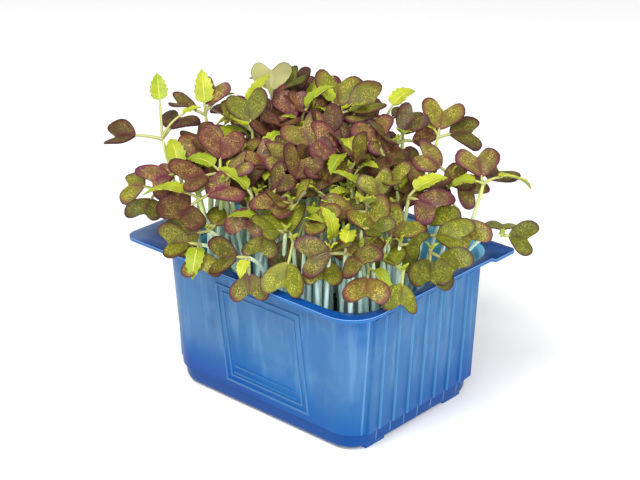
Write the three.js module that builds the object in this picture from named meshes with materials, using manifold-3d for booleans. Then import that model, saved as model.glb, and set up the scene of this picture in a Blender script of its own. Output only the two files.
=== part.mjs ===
// Microgreens tray: a blue plastic tray of soil, thick with red mustard seedlings.
// Millimetres, +Z up. The origin is the middle of the tray's underside, the long
// panelled side faces -Y and the ribbed short side faces +X.
import * as THREE from "three";
import { mergeVertices } from "three/addons/utils/BufferGeometryUtils.js";
import Module from "manifold-3d";

const wasm = await Module();
wasm.setup();

const DEG = Math.PI / 180;

// ---- Tray sizes -------------------------------------------------------------

const RIM = 57.7; // height of the flat rim
const HALF_X = 49.1; // half length of the wall, outside, just under the collar
const HALF_Y = 38.5; // half width of the wall there
const TAPER = 2.9; // how far the wall leans in by its foot
const FOOT_STEP = 0.9; // the foot band is set in this much more
const FOOT_TOP = 6.8; // height of the foot band's upper edge
const FOOT_DROP = 1; // the underside panel stands this far below the foot band
const COLLAR = 0.9; // the collar under the rim stands out this far
const COLLAR_FOOT = 53.4; // height where the wall meets the collar
const WALL = 1.2; // wall thickness
const RIM_X = 53.5; // half length of the flat rim
const RIM_Y = 44; // half width of the flat rim
const RIM_CORNER = 12.5;
const RIM_THICK = 1.3;
const TAB_REACH = 8; // the pull tab at the left corner stands out this far
const TAB_LENGTH = 35;
const TAB_SLOPE = 14; // length over which the tab's edge slants back to the rim
const TAB_CORNER = 5;
const SNAP_REACH = 1.7; // the break-off corner at the right stands out this far
const SNAP_LENGTH = 13;
const SNAP_CORNER = 1.4;
const PLEAT_COUNT = 7; // equal pleats down a short side, after a narrower first one
const PLEAT_PITCH = 7.7;
const FIRST_PLEAT = 5.8;
const PLEAT_START = -28.8;
const FRAME_LEFT = -15.6; // lower left corner of the frame on the panelled side
const FRAME_WIDTH = 40.4;
const FRAME_LOW = 10.4;
const FRAME_HIGH = 49.2;
const FRAME_SLANT = 2.7; // the frame's top stands this far to the left of its foot
const FRAME_INSET = 2.6; // from the outer frame to the inner one
const GAP = 0.3; // clearance between neighbouring solids

// ---- Soil and sowing --------------------------------------------------------

const SOIL_TOP = 27; // height of the soil's surface
const SOIL_X = 40; // stems stand within this half length
const SOIL_Y = 29; // and this half width
const HOLE_DEPTH = 6;
const HOLE_HALF = 1.9;
const STEM = 0.9; // stem radius
const BLADE = 0.7; // leaf thickness
const CORNER_VIEW = 42.1 * DEG; // plan turn from the tray's axes to the near corner's axes

// ---- Solids and meshes ------------------------------------------------------

/** A closed three.js geometry as a solid for boolean work. */
function solid(geometry) {
  geometry.deleteAttribute("normal");
  geometry.deleteAttribute("uv");
  const merged = mergeVertices(geometry, 1e-4);
  return new wasm.Manifold(
    new wasm.Mesh({
      numProp: 3,
      vertProperties: new Float32Array(merged.attributes.position.array),
      triVerts: new Uint32Array(merged.index.array),
    }),
  );
}

/** A named, coloured mesh of a solid. */
function meshOf(name, shape, color, roughness) {
  const made = shape.getMesh();
  const geometry = new THREE.BufferGeometry();
  geometry.setAttribute("position", new THREE.BufferAttribute(made.vertProperties, 3));
  geometry.setIndex(new THREE.BufferAttribute(made.triVerts, 1));
  geometry.computeVertexNormals();
  const material = new THREE.MeshStandardMaterial({ color, roughness, metalness: 0 });
  const mesh = new THREE.Mesh(geometry, material);
  mesh.name = name;
  return mesh;
}

/** A rounded rectangle's points, counter-clockwise seen from above. */
function roundedRing(halfX, halfY, radius, steps) {
  const points = [];
  const corners = [[1, 1], [-1, 1], [-1, -1], [1, -1]];
  corners.forEach(([sx, sy], corner) => {
    for (let i = 0; i <= steps; i += 1) {
      const angle = (corner + i / steps) * 90 * DEG;
      const x = sx * (halfX - radius) + radius * Math.cos(angle);
      const y = sy * (halfY - radius) + radius * Math.sin(angle);
      points.push(new THREE.Vector2(x, y));
    }
  });
  return points;
}

/** A closed solid through rings of equal point counts, from the lowest up. */
function loft(rings) {
  const count = rings[0].points.length;
  const positions = [];
  const index = [];
  for (const ring of rings) {
    for (const point of ring.points) positions.push(point.x, point.y, ring.z);
  }
  for (let level = 0; level < rings.length - 1; level += 1) {
    for (let i = 0; i < count; i += 1) {
      const a = level * count + i;
      const b = level * count + ((i + 1) % count);
      index.push(a, b, b + count, a, b + count, a + count);
    }
  }
  const last = (rings.length - 1) * count;
  for (const [a, b, c] of THREE.ShapeUtils.triangulateShape(rings[0].points, [])) {
    index.push(c, b, a);
    index.push(a + last, b + last, c + last);
  }
  const geometry = new THREE.BufferGeometry();
  geometry.setAttribute("position", new THREE.Float32BufferAttribute(positions, 3));
  geometry.setIndex(index);
  return solid(geometry);
}

function box(low, high) {
  const size = high.map((value, i) => value - low[i]);
  const middle = high.map((value, i) => (value + low[i]) / 2);
  return solid(new THREE.BoxGeometry(...size).translate(...middle));
}

const union = (solids) => solids.reduce((whole, part) => whole.add(part));

// ---- Tray -------------------------------------------------------------------

/** How far the plain wall stands in from its top at a height. */
function wallInset(z) {
  return TAPER * (1 - (z - FOOT_DROP) / (COLLAR_FOOT - FOOT_DROP));
}

function trayLoft(sections, steps = 4) {
  return loft(
    sections.map(([z, inset, radius]) => ({
      z,
      points: roundedRing(HALF_X - inset, HALF_Y - inset, radius, steps),
    })),
  );
}

function trayBody() {
  const foot = TAPER + FOOT_STEP;
  return trayLoft([
    [FOOT_DROP, foot + 1.6, 9],
    [FOOT_DROP + 0.6, foot + 0.5, 9.6],
    [FOOT_DROP + 1.8, foot, 10],
    [FOOT_TOP, wallInset(FOOT_TOP) + FOOT_STEP, 10.2],
    [FOOT_TOP + 0.4, wallInset(FOOT_TOP), 10.8],
    [COLLAR_FOOT, 0, 12.3],
    [COLLAR_FOOT + 0.4, -COLLAR, 12.9],
    [RIM - 0.3, -COLLAR, 13],
  ]);
}

function trayCavity() {
  return trayLoft([
    [FOOT_DROP + 1.3, TAPER + FOOT_STEP + 2.6, 8],
    [FOOT_DROP + 2.3, TAPER + FOOT_STEP + WALL, 8.6],
    [FOOT_TOP + 1, wallInset(FOOT_TOP + 1) + FOOT_STEP + WALL, 9],
    [RIM - 6.4, WALL + 0.3, 11],
    [RIM - 5.4, WALL - COLLAR + 0.1, 12],
    [RIM - 1.3, WALL - COLLAR - 0.1, 12.4],
    [RIM - 0.4, -0.9, 13],
    [RIM + 0.01, -1.5, 13.6],
  ]);
}

/** The flat rim, with a pull tab at the left corner and a break-off corner at the right. */
function rim() {
  const shape = new THREE.Shape();
  const tab = RIM_X + TAB_REACH;
  const snap = RIM_X + SNAP_REACH;
  shape.absarc(RIM_X - RIM_CORNER, RIM_CORNER - RIM_Y, RIM_CORNER, -90 * DEG, 0);
  shape.lineTo(RIM_X, RIM_Y - SNAP_LENGTH);
  shape.lineTo(snap, RIM_Y - SNAP_LENGTH + SNAP_REACH / 2);
  shape.lineTo(snap, RIM_Y - SNAP_CORNER);
  shape.lineTo(snap - SNAP_CORNER, RIM_Y);
  shape.absarc(RIM_CORNER - RIM_X, RIM_Y - RIM_CORNER, RIM_CORNER, 90 * DEG, 180 * DEG);
  shape.lineTo(-RIM_X, TAB_LENGTH - RIM_Y);
  shape.lineTo(-tab, TAB_LENGTH - TAB_SLOPE - RIM_Y);
  shape.absarc(TAB_CORNER - tab, TAB_CORNER - RIM_Y, TAB_CORNER, 180 * DEG, 270 * DEG);
  const options = { depth: RIM_THICK, bevelEnabled: false, curveSegments: 4 };
  return solid(new THREE.ExtrudeGeometry(shape, options).translate(0, 0, RIM - RIM_THICK));
}

/** Pleats down a short side: a row of slim wedges, each with one sharp edge. */
function pleats(side) {
  const low = FOOT_TOP + 0.6;
  const high = COLLAR_FOOT - 0.3;
  const lean = (wallInset(low) - wallInset(high)) / (high - low);
  const wedges = [];
  let edge = PLEAT_START;
  for (let i = 0; i <= PLEAT_COUNT; i += 1) {
    const pitch = i === 0 ? FIRST_PLEAT : PLEAT_PITCH;
    const width = pitch - 0.4;
    const shape = new THREE.Shape();
    shape.moveTo(-0.5, 0);
    shape.lineTo(0.55, 0.1);
    shape.lineTo(0.02, width);
    shape.lineTo(-0.5, width);
    const wedge = new THREE.ExtrudeGeometry(shape, { depth: high - low, bevelEnabled: false });
    const shear = new THREE.Matrix4().makeShear(0, 0, 0, 0, lean, 0);
    wedge.applyMatrix4(shear);
    wedge.translate(HALF_X - wallInset(low), edge, low);
    if (side < 0) wedge.rotateZ(Math.PI);
    wedges.push(solid(wedge));
    edge += pitch;
  }
  return wedges;
}

/** A thin bar in relief on the front wall, between two points [x, z] of it. */
function frontBar(from, to, width, proud) {
  const start = new THREE.Vector2(...from);
  const end = new THREE.Vector2(...to);
  const across = end.clone().sub(start).normalize();
  across.set(-across.y, across.x).multiplyScalar(width / 2);
  const sides = [
    start.clone().sub(across), end.clone().sub(across),
    end.clone().add(across), start.clone().add(across),
  ];
  const positions = [];
  for (const depth of [proud, -0.6]) {
    for (const p of sides) positions.push(p.x, -(HALF_Y - wallInset(p.y) + depth), p.y);
  }
  const geometry = new THREE.BufferGeometry();
  geometry.setAttribute("position", new THREE.Float32BufferAttribute(positions, 3));
  geometry.setIndex([
    0, 1, 2, 0, 2, 3, 6, 5, 4, 7, 6, 4, 0, 4, 5, 0, 5, 1,
    1, 5, 6, 1, 6, 2, 2, 6, 7, 2, 7, 3, 3, 7, 4, 3, 4, 0,
  ]);
  return solid(geometry);
}

/** A slanted four-sided frame of bars on the front wall, drawn in by an inset all round. */
function frontFrame(inset, width, proud) {
  const low = FRAME_LOW + inset;
  const high = FRAME_HIGH - inset;
  const slant = FRAME_SLANT / (FRAME_HIGH - FRAME_LOW);
  const left = (z) => FRAME_LEFT + inset - slant * (z - FRAME_LOW);
  const span = FRAME_WIDTH - 2 * inset;
  const corners = [
    [left(high), high], [left(low), low], [left(low) + span, low], [left(high) + span, high],
  ];
  return corners.map((corner, i) => {
    const next = corners[(i + 1) % corners.length];
    const step = new THREE.Vector2(next[0] - corner[0], next[1] - corner[1]);
    step.setLength(width / 2);
    return frontBar(
      [corner[0] - step.x, corner[1] - step.y],
      [next[0] + step.x, next[1] + step.y],
      width,
      proud,
    );
  });
}

/** Underside panel with a lug towards each end of both short sides. */
function underside() {
  const panel = trayLoft([
    [0, TAPER + FOOT_STEP + 4.4, 7],
    [FOOT_DROP + 1, TAPER + FOOT_STEP + 3.4, 7.6],
  ], 2);
  const reach = HALF_X - TAPER - FOOT_STEP - 1.1;
  const lugs = [-22, 22].map((y) => box([-reach, y - 5, 0], [reach, y + 5, 1.9]));
  return union([panel, ...lugs]);
}

function tray() {
  let body = union([
    trayBody(),
    rim(),
    underside(),
    ...pleats(1),
    ...pleats(-1),
    ...frontFrame(0, 0.8, 0.4),
    ...frontFrame(FRAME_INSET, 0.6, 0.3),
    frontBar([-10.9, 17.4], [16.6, 17.4], 0.9, 0.3),
    frontBar([-12, 14.6], [20, 14.6], 0.9, 0.3),
  ]);
  body = body.subtract(trayCavity());
  return body;
}

// ---- Leaves -----------------------------------------------------------------

/** Half outlines as [share of length, share of half width], from the base out. */
const SEED_LEAF = [[0, 0.1], [0.36, 0.8], [0.74, 1], [1, 0.58]];
const SEED_NOTCH = 0.72;
const TRUE_LEAF = [[0, 0.14], [0.3, 0.95], [0.45, 0.76], [0.63, 0.88]];

/** Where a flat leaf's point goes once its midrib rises, droops and rolls and its halves fold. */
function bend(leaf, along, across, lift) {
  const rate = leaf.droop / leaf.reach;
  const angle = leaf.rise - rate * along;
  const out = (Math.sin(leaf.rise) - Math.sin(angle)) / rate;
  const up = (Math.cos(angle) - Math.cos(leaf.rise)) / rate;
  const ahead = new THREE.Vector3(-Math.sin(leaf.heading), Math.cos(leaf.heading), 0);
  const aside = new THREE.Vector3(Math.cos(leaf.heading), Math.sin(leaf.heading), 0);
  const face = ahead.clone().multiplyScalar(-Math.sin(angle));
  face.z = Math.cos(angle);
  const side = aside.clone().multiplyScalar(Math.cos(leaf.roll));
  side.addScaledVector(face, Math.sin(leaf.roll));
  const normal = face.clone().multiplyScalar(Math.cos(leaf.roll));
  normal.addScaledVector(aside, -Math.sin(leaf.roll));
  const height = Math.abs(across) * Math.sin(leaf.fold) + lift;
  const point = leaf.origin.clone().addScaledVector(ahead, out);
  point.z += up;
  point.addScaledVector(side, across * Math.cos(leaf.fold));
  return point.addScaledVector(normal, height);
}

/** A leaf as a thin closed solid, both faces split alike along the midrib. */
function blade(leaf, half, notch) {
  const right = half.map(([u, v]) => [leaf.stalk + u * leaf.length, v * leaf.width]);
  const flat = [[0, 0.4], ...right, [leaf.stalk + notch * leaf.length, 0]];
  const tip = flat.length - 1;
  for (let i = tip - 1; i >= 0; i -= 1) flat.push([flat[i][0], -flat[i][1]]);
  const count = flat.length;
  const faces = [[0, 1, count - 2], [0, count - 2, count - 1], [1, tip, count - 2]];
  for (let i = 1; i < tip - 1; i += 1) {
    faces.push([i, i + 1, tip]);
    faces.push([count - 1 - i, tip, count - 2 - i]);
  }
  const positions = [];
  for (const lift of [-BLADE / 2, BLADE / 2]) {
    for (const [along, across] of flat) positions.push(...bend(leaf, along, across, lift));
  }
  const index = [];
  for (const [a, b, c] of faces) index.push(c, b, a, a + count, b + count, c + count);
  for (let i = 0; i < count; i += 1) {
    const next = (i + 1) % count;
    index.push(i, next, next + count, i, next + count, i + count);
  }
  const geometry = new THREE.BufferGeometry();
  geometry.setAttribute("position", new THREE.Float32BufferAttribute(positions, 3));
  geometry.setIndex(index);
  return solid(geometry);
}

// ---- Seedlings --------------------------------------------------------------

/**
 * The seedlings that shape the crop's outline, set by hand in the near corner's axes: across
 * to the right, away from the near corner, and the crown's height over the crop's surface.
 * Then the two seed leaves as [turn, rise, roll, stalk], where a turn of 0 points away and
 * 90 to the right, the size, the share of purple, how far the stem lies over, and any true
 * leaves as [turn, rise, length, stalk].
 */
const OUTER_SEEDLINGS = [
  [-60, 15, 0, [275, 15, 15, 10], [30, 30, 0], 1.1, 0.8, 0, [[350, 80, 11, 14], [70, 65, 7, 12]]],
  [-45, 30, 0, [40, 70, 0], [275, 30, 0], 1, 0.7, 0, [[350, 85, 13, 4], [60, 50, 10, 4]]],
  [-27, 20, 0, [340, 65, 20], [290, 35, 0], 1.15, 0.2, 0, [[285, 50, 13, 2]]],
  [-20, 40, 0, [170, 105, 0], [70, 40, 0], 1.1, 0.05, 0, [[300, 75, 8, 5]]],
  [5, 30, 0, [0, 50, -15], [85, 25, -20], 1.35, 0.4, 0, [[310, 70, 11, 5], [70, 40, 8, 2]]],
  [23, 26, 0, [60, 20, 0], [290, 20, 0], 1, 0.5, 0, [[50, 70, 12, 6]]],
  [42, 16, 0, [15, 45, -10], [75, 15, -30], 1.15, 0.5, 0, [[330, 40, 13, 3]]],
  [57, -8, 0, [350, 50, 0], [30, 10, -20], 1.15, 0.6, 0, [[280, 25, 11, 3], [80, 35, 14, 6]]],
  [64, -12, -17, [90, 0, -60], [10, 5, 0], 1, 0.15, 1, []],
  [-61, -3, -6, [300, 10, 40], [200, -10, 0], 1.05, 0.4, 0, []],
  [-38, -2, 0, [0, 50, -15], [240, 5, 20], 1.25, 0.95, 0, [[300, 40, 12, 3], [70, 35, 9, 3]]],
  [-45, -15, 0, [205, 5, 25], [40, 20, -15], 1.3, 0.85, 0, [[280, 55, 17, 5], [330, 80, 11, 3]]],
  [21, 8, 0, [345, 35, 20], [165, 5, -25], 1.15, 0.8, 0, [[310, 30, 9, 2]]],
  [30, -14, 0, [30, 25, -20], [130, 10, -30], 1.25, 0.8, 0, [[70, 45, 13, 3]]],
  [-26, -14, 0, [330, 10, 20], [190, -40, 10], 1.1, 0.8, 0, [[290, 60, 13, 3]]],
  [-11, -35, 0, [350, 25, 15], [200, -45, 0, 7], 1.2, 0.1, 0, []],
  [7, -42, 2, [275, 0, 60], [150, 15, -30], 1.15, 0.5, 0, [[10, 60, 10, 3]]],
  [15, -47, 0, [185, -5, 0], [350, 30, 0], 1.15, 0.6, 0, [[130, 0, 11, 2]]],
  [27, -46, -2, [205, -20, 30], [340, 25, 0], 1, 0.05, 0.3, []],
  [37, -32, -6, [195, -10, 20], [140, 0, -40], 1.15, 0.15, 0.3, []],
  [35, -22, -8, [20, 30, -20], [110, 15, -20], 1.2, 0.1, 0.2, []],
  [21, -34, -2, [30, 30, -25], [330, 40, 20], 1.25, 0.4, 0, []],
  [-27, -38, -4, [290, 0, 50], [175, -45, 0], 1, 0.45, 0.7, [[200, 0, 7, 2]]],
  [-42, -20, -8, [250, 0, 60], [60, 20, 0], 1.1, 0.3, 0.7, []],
  [-46, -23, -10, [275, 10, 45], [175, -30, 0], 1, 0.35, 0.8, [[190, -10, 12, 2]]],
];
const SEEDLINGS = 58; // with those that stand by rule
const CROWN_X = 47; // crowns by rule stand within this half length
const CROWN_Y = 36; // and this half width
const LEAN = 0.78; // a foot stands this share as far out as its crown
const CROP_MIDDLE = 88.5; // height of the crop's surface over the middle of the tray
const CROP_BEND = 15; // the surface rises steeply up to here
const CROP_BACK = 45; // and gently up to here, then falls
const NEAR_SLOPE = 0.4;
const FAR_SLOPE = 0.28;
const BACK_SLOPE = 0.5;
const LIGHT_TILT = 30; // leaves by rule tip this far towards the light over the near corner
const TRIES = 130; // most steps tried to clear a stem or a leaf
const STEM_STEP = 0.5; // millimetres
const LEAF_STEP = 6; // degrees
const STEM_SAMPLES = 24;
const STEM_ROOM = 3.4; // least distance between the sample points of two stems
const LEAF_GAP = 0.2;
const SPOT_COLUMNS = 11; // grid of spots that the rule chooses crowns from
const SPOT_ROWS = 8;
const SLIVER = 0.02; // smallest detail kept where solids are joined

/** A seeded draw of numbers from 0 to 1. */
function dice(seed) {
  let state = seed;
  return () => {
    state = (state * 1664525 + 1013904223) % 4294967296;
    return state / 4294967296;
  };
}

/** Plan position from the near corner's axes. */
function plan(across, away) {
  const c = Math.cos(CORNER_VIEW);
  const s = Math.sin(CORNER_VIEW);
  return [across * c - away * s, across * s + away * c];
}

/** The near corner's axes from a plan position. */
function cornerAxes(x, y) {
  const c = Math.cos(CORNER_VIEW);
  const s = Math.sin(CORNER_VIEW);
  return [x * c + y * s, y * c - x * s];
}

const within = (value, low, high) => Math.max(low, Math.min(high, value));

/** How high the crop's surface stands, by how far away from the near corner. */
function cropHeight(away) {
  const near = NEAR_SLOPE * Math.min(away, CROP_BEND);
  const far = FAR_SLOPE * within(away - CROP_BEND, 0, CROP_BACK - CROP_BEND);
  return CROP_MIDDLE + near + far - BACK_SLOPE * Math.max(away - CROP_BACK, 0);
}

/** Small true leaves for a seedling whose own aren't given. */
function drawnTrueLeaves(firstTurn, draw) {
  const leaves = [[firstTurn + 70 + 50 * draw(), 45 + 35 * draw(), 8 + 6 * draw(), 2 + 4 * draw()]];
  if (draw() < 0.35) leaves.push([leaves[0][0] + 180, 30 + 30 * draw(), 6 + 3 * draw(), 2]);
  return leaves;
}

/** A seedling's stem and leaves from its row and its own draws. */
function seedlingFrom(row, index) {
  const [across, away, lift, first, second, size, purple, lay, given] = row;
  const draw = dice(4001 + 977 * index);
  const [x, y] = plan(across, away);
  const foot = [
    within(LEAN * x + 4 * (draw() - 0.5), -SOIL_X, SOIL_X),
    within(LEAN * y + 4 * (draw() - 0.5), -SOIL_Y, SOIL_Y),
  ];
  const leaves = [first, second].map(([turn, rise, roll, stalk]) => ({
    kind: "seed", turn, rise, roll,
    stalk: stalk ?? 3 + 2.5 * draw(),
    length: (9.6 + draw()) * size,
    width: (7.1 + 0.7 * draw()) * size,
    droop: 12 + 24 * draw(),
    fold: 8 + 16 * draw(),
  }));
  for (const [turn, rise, length, stalk] of given ?? drawnTrueLeaves(first[0], draw)) {
    leaves.push({
      kind: "true", turn, rise, length, stalk,
      roll: 30 * (draw() - 0.5),
      width: 0.26 * length + 0.4,
      droop: 45 + 50 * draw(),
      fold: 10 + 14 * draw(),
    });
  }
  return { foot, crown: [x, y, cropHeight(away) + lift], lay, purple, leaves };
}

/** A stem's path: straight up out of its hole, then over to the crown. */
function stemPath(plant) {
  const top = new THREE.Vector3(...plant.crown);
  const base = new THREE.Vector3(...plant.foot, SOIL_TOP - HOLE_DEPTH + GAP);
  const share = 0.3 + 0.3 * plant.lay;
  const climb = top.z - SOIL_TOP;
  const rising = base.clone().setZ(SOIL_TOP + (0.35 + 0.45 * plant.lay) * climb);
  const arriving = new THREE.Vector3(
    top.x - share * (top.x - base.x),
    top.y - share * (top.y - base.y),
    top.z - 0.35 * (1 - plant.lay) * climb,
  );
  return new THREE.CubicBezierCurve3(base, rising, arriving, top);
}

/** The least distance between points of two stems. */
function stemsApart(a, b) {
  let least = Infinity;
  for (const p of a) {
    for (const q of b) least = Math.min(least, p.distanceTo(q));
  }
  return least;
}

/** Moves each seedling by small steps along a spiral until its stem clears those before it. */
function settleStems(plants) {
  const settled = [];
  for (const plant of plants) {
    const { foot, crown } = plant;
    for (let k = 0; k < TRIES; k += 1) {
      const dx = STEM_STEP * Math.sqrt(k) * Math.cos(2.4 * k);
      const dy = STEM_STEP * Math.sqrt(k) * Math.sin(2.4 * k);
      plant.foot = [foot[0] + dx, foot[1] + dy];
      plant.crown = [crown[0] + dx, crown[1] + dy, crown[2]];
      plant.line = stemPath(plant).getPoints(STEM_SAMPLES);
      if (settled.every((other) => stemsApart(plant.line, other) > STEM_ROOM)) break;
    }
    settled.push(plant.line);
  }
}

function stemSolid(plant) {
  const section = new THREE.Shape([
    new THREE.Vector2(STEM, 0), new THREE.Vector2(0, STEM),
    new THREE.Vector2(-STEM, 0), new THREE.Vector2(0, -STEM),
  ]);
  const options = { steps: 4, extrudePath: stemPath(plant), bevelEnabled: false };
  return solid(new THREE.ExtrudeGeometry(section, options));
}

/** One leaf as a solid, turned and raised by the k-th step of a spiral of angles. */
function leafSolid(plant, leaf, k) {
  const seed = leaf.kind === "seed";
  const turn = leaf.turn + LEAF_STEP * Math.sqrt(k) * Math.cos(2.4 * k);
  const rise = leaf.rise + LEAF_STEP * Math.sqrt(k) * Math.sin(2.4 * k);
  const heading = CORNER_VIEW - turn * DEG;
  const { v2: arriving, v3: top } = stemPath(plant);
  const back = arriving.sub(top).normalize();
  const shaped = {
    ...leaf,
    heading,
    origin: top.addScaledVector(back, seed ? 1.1 : 0.4),
    rise: rise * DEG,
    roll: leaf.roll * DEG,
    droop: leaf.droop * DEG,
    fold: leaf.fold * DEG,
    reach: leaf.stalk + leaf.length,
  };
  return blade(shaped, seed ? SEED_LEAF : TRUE_LEAF, seed ? SEED_NOTCH : 1);
}

/** True where two solids keep less than the clearance. */
function touches(a, b) {
  for (let i = 0; i < 3; i += 1) {
    if (a.box.min[i] - GAP > b.box.max[i] || b.box.min[i] - GAP > a.box.max[i]) return false;
  }
  return a.shape.minGap(b.shape, GAP) < LEAF_GAP;
}

const boxed = (shape, owner) => ({ shape, owner, box: shape.boundingBox() });

/** Adds each leaf at the first step that keeps it clear of every other seedling. */
function growLeaves(plants, obstacles) {
  return plants.map((plant, owner) => {
    const grown = [];
    for (const leaf of plant.leaves) {
      for (let k = 0; k < TRIES; k += 1) {
        const made = boxed(leafSolid(plant, leaf, k), owner);
        if (obstacles.some((other) => other.owner !== owner && touches(made, other))) continue;
        obstacles.push(made);
        grown.push(made.shape);
        break;
      }
    }
    return grown;
  });
}

/** Spots for crowns on a jittered grid, the widest gap between crowns first. */
function crownSpots(taken, count) {
  const draw = dice(77);
  const spots = [];
  for (let i = 0; i < SPOT_COLUMNS; i += 1) {
    for (let j = 0; j < SPOT_ROWS; j += 1) {
      const x = CROWN_X * ((i + 0.2 + 0.6 * draw()) / (SPOT_COLUMNS / 2) - 1);
      const y = CROWN_Y * ((j + 0.2 + 0.6 * draw()) / (SPOT_ROWS / 2) - 1);
      spots.push([x, y]);
    }
  }
  const held = [...taken];
  const chosen = [];
  const room = ([x, y]) => Math.min(...held.map(([a, b]) => Math.hypot(x - a, y - b)));
  while (chosen.length < count) {
    const best = spots.reduce((most, spot) => (room(spot) > room(most) ? spot : most));
    chosen.push(best);
    held.push(best);
  }
  return chosen;
}

/** A seed leaf's [turn, rise, roll] by rule: its face tips towards the light. */
function litLeaf(turn, level, draw) {
  const rise = level + LIGHT_TILT * Math.cos(turn * DEG) + 24 * (draw() - 0.5);
  const roll = 30 * (draw() - 0.5) - LIGHT_TILT * Math.sin(turn * DEG);
  return [turn, rise, roll];
}

/** A seedling's row by rule: leaves lean out of the crop, lower and greener at its near edge. */
function rowAt([x, y], index) {
  const draw = dice(90001 + 613 * index);
  const [across, away] = cornerAxes(x, y);
  const outward = Math.atan2(across, away) / DEG;
  const edge = Math.max(Math.abs(x) / CROWN_X, Math.abs(y) / CROWN_Y);
  const turn = outward + 100 * (draw() - 0.5);
  return [
    across,
    away,
    -6 * draw(),
    litLeaf(turn, 20 - 14 * edge, draw),
    litLeaf(turn + 150 + 60 * draw(), 16, draw),
    0.92 + 0.3 * draw(),
    within(0.65 + 0.012 * away + 0.5 * (draw() - 0.5), 0, 1),
    0,
  ];
}

// ---- Soil -------------------------------------------------------------------

function soilBlock() {
  const clear = GAP + 0.25;
  const low = FOOT_DROP + 2.3 + clear;
  const middle = FOOT_TOP + 1;
  const inset = (z) => wallInset(z) + WALL + clear;
  return trayLoft([
    [low, inset(low) + FOOT_STEP + 0.3, 8.6],
    [middle, inset(middle) + FOOT_STEP, 9],
    [SOIL_TOP - 1, inset(SOIL_TOP) + 0.2, 9.8],
    [SOIL_TOP, inset(SOIL_TOP) + 1.2, 9],
  ]);
}

/** A plain four-sided hole for a stem. */
function hole({ foot: [x, y] }) {
  const low = [x - HOLE_HALF, y - HOLE_HALF, SOIL_TOP - HOLE_DEPTH];
  const high = [x + HOLE_HALF, y + HOLE_HALF, SOIL_TOP + 5];
  return box(low, high);
}

// ---- Assembly ---------------------------------------------------------------

const LIME = new THREE.Color(0x8f9a3c);
const PURPLE = new THREE.Color(0x6b3f45);

const outer = OUTER_SEEDLINGS.map(seedlingFrom);
const spots = crownSpots(outer.map((plant) => plant.crown), SEEDLINGS - outer.length);
const inner = spots.map((spot, i) => seedlingFrom(rowAt(spot, i), outer.length + i));
const plants = [...outer, ...inner];
settleStems(plants);

const traySolid = tray();
const stems = plants.map(stemSolid);
const leaves = growLeaves(plants, [boxed(traySolid, -1), ...stems.map(boxed)]);

let soil = soilBlock();
for (const plant of plants) soil = soil.subtract(hole(plant));

const part = new THREE.Group();
part.add(meshOf("tray", traySolid, 0x2f6fb8, 0.35));
part.add(meshOf("soil", soil, 0x2a1c14, 0.95));
plants.forEach((plant, i) => {
  const name = `seedling_${String(i + 1).padStart(2, "0")}`;
  const color = LIME.clone().lerp(PURPLE, plant.purple);
  part.add(meshOf(name, union([stems[i], ...leaves[i]]).simplify(SLIVER), color, 0.6));
});

export default part;
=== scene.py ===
"""Microgreens tray: finished look of a blue plastic tray of soil, thick with red mustard seedlings."""

import math

import bpy
import numpy as np
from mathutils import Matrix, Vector, kdtree


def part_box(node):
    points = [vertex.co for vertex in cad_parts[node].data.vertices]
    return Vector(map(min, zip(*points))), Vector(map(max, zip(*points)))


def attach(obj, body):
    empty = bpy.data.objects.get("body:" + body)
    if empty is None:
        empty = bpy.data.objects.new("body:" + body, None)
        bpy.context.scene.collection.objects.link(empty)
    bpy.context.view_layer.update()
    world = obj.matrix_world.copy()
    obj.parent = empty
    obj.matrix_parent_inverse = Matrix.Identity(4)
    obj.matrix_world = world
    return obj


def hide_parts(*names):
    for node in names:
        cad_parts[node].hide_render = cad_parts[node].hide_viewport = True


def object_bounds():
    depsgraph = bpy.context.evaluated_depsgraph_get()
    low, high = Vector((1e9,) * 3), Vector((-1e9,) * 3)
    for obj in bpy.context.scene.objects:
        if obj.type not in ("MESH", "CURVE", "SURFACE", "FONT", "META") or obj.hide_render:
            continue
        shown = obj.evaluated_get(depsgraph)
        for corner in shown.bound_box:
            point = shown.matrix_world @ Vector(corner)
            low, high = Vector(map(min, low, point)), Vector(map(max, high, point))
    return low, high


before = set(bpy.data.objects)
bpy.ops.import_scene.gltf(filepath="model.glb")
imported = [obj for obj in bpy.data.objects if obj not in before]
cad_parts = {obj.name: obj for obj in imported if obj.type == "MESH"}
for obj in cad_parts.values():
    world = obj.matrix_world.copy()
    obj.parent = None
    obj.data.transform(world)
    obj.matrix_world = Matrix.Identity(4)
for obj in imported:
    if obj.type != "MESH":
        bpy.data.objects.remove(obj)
cad_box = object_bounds()

MM = 0.001
DEG = math.pi / 180

# ---- Tray sizes, millimetres ------------------------------------------------

RIM = 57.7  # height of the flat rim
HALF_X = 49.1  # half length of the wall, outside, just under the collar
HALF_Y = 38.5  # half width of the wall there
TAPER = 2.9  # how far the wall leans in by its foot
FOOT_STEP = 0.9  # the foot band is set in this much more
FOOT_TOP = 6.8  # height of the foot band's upper edge
FOOT_DROP = 1.0  # the underside panel stands this far below the foot band
COLLAR = 0.9  # the collar under the rim stands out this far
COLLAR_FOOT = 53.4  # height where the wall meets the collar
WALL = 1.2  # wall thickness
ROUNDING = 0.35  # radius that softens the tray's edges
WALL_SHADE_TOP = 60.0  # the wall's painted light above and painted shade below change from its foot up to here
RIM_HIGHLIGHT_DEPTH = 0.22  # depth of the painted highlight line under the rim's top
RIM_X = 53.5  # half length of the flat rim
RIM_Y = 44.0  # half width of the flat rim
RIM_CORNER = 12.5
RIM_THICK = 1.3
TAB_REACH = 8.0  # the pull tab at the left corner stands out this far
TAB_LENGTH = 35.0
TAB_SLOPE = 14.0  # length over which the tab's edge slants back to the rim
TAB_CORNER = 5.0
SNAP_REACH = 1.7  # the break-off corner at the right stands out this far
SNAP_LENGTH = 13.0
SNAP_CORNER = 1.4
LUG_PLACE = 22.0  # from the middle to the lugs under each end
LUG_LENGTH = 10.0
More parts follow.
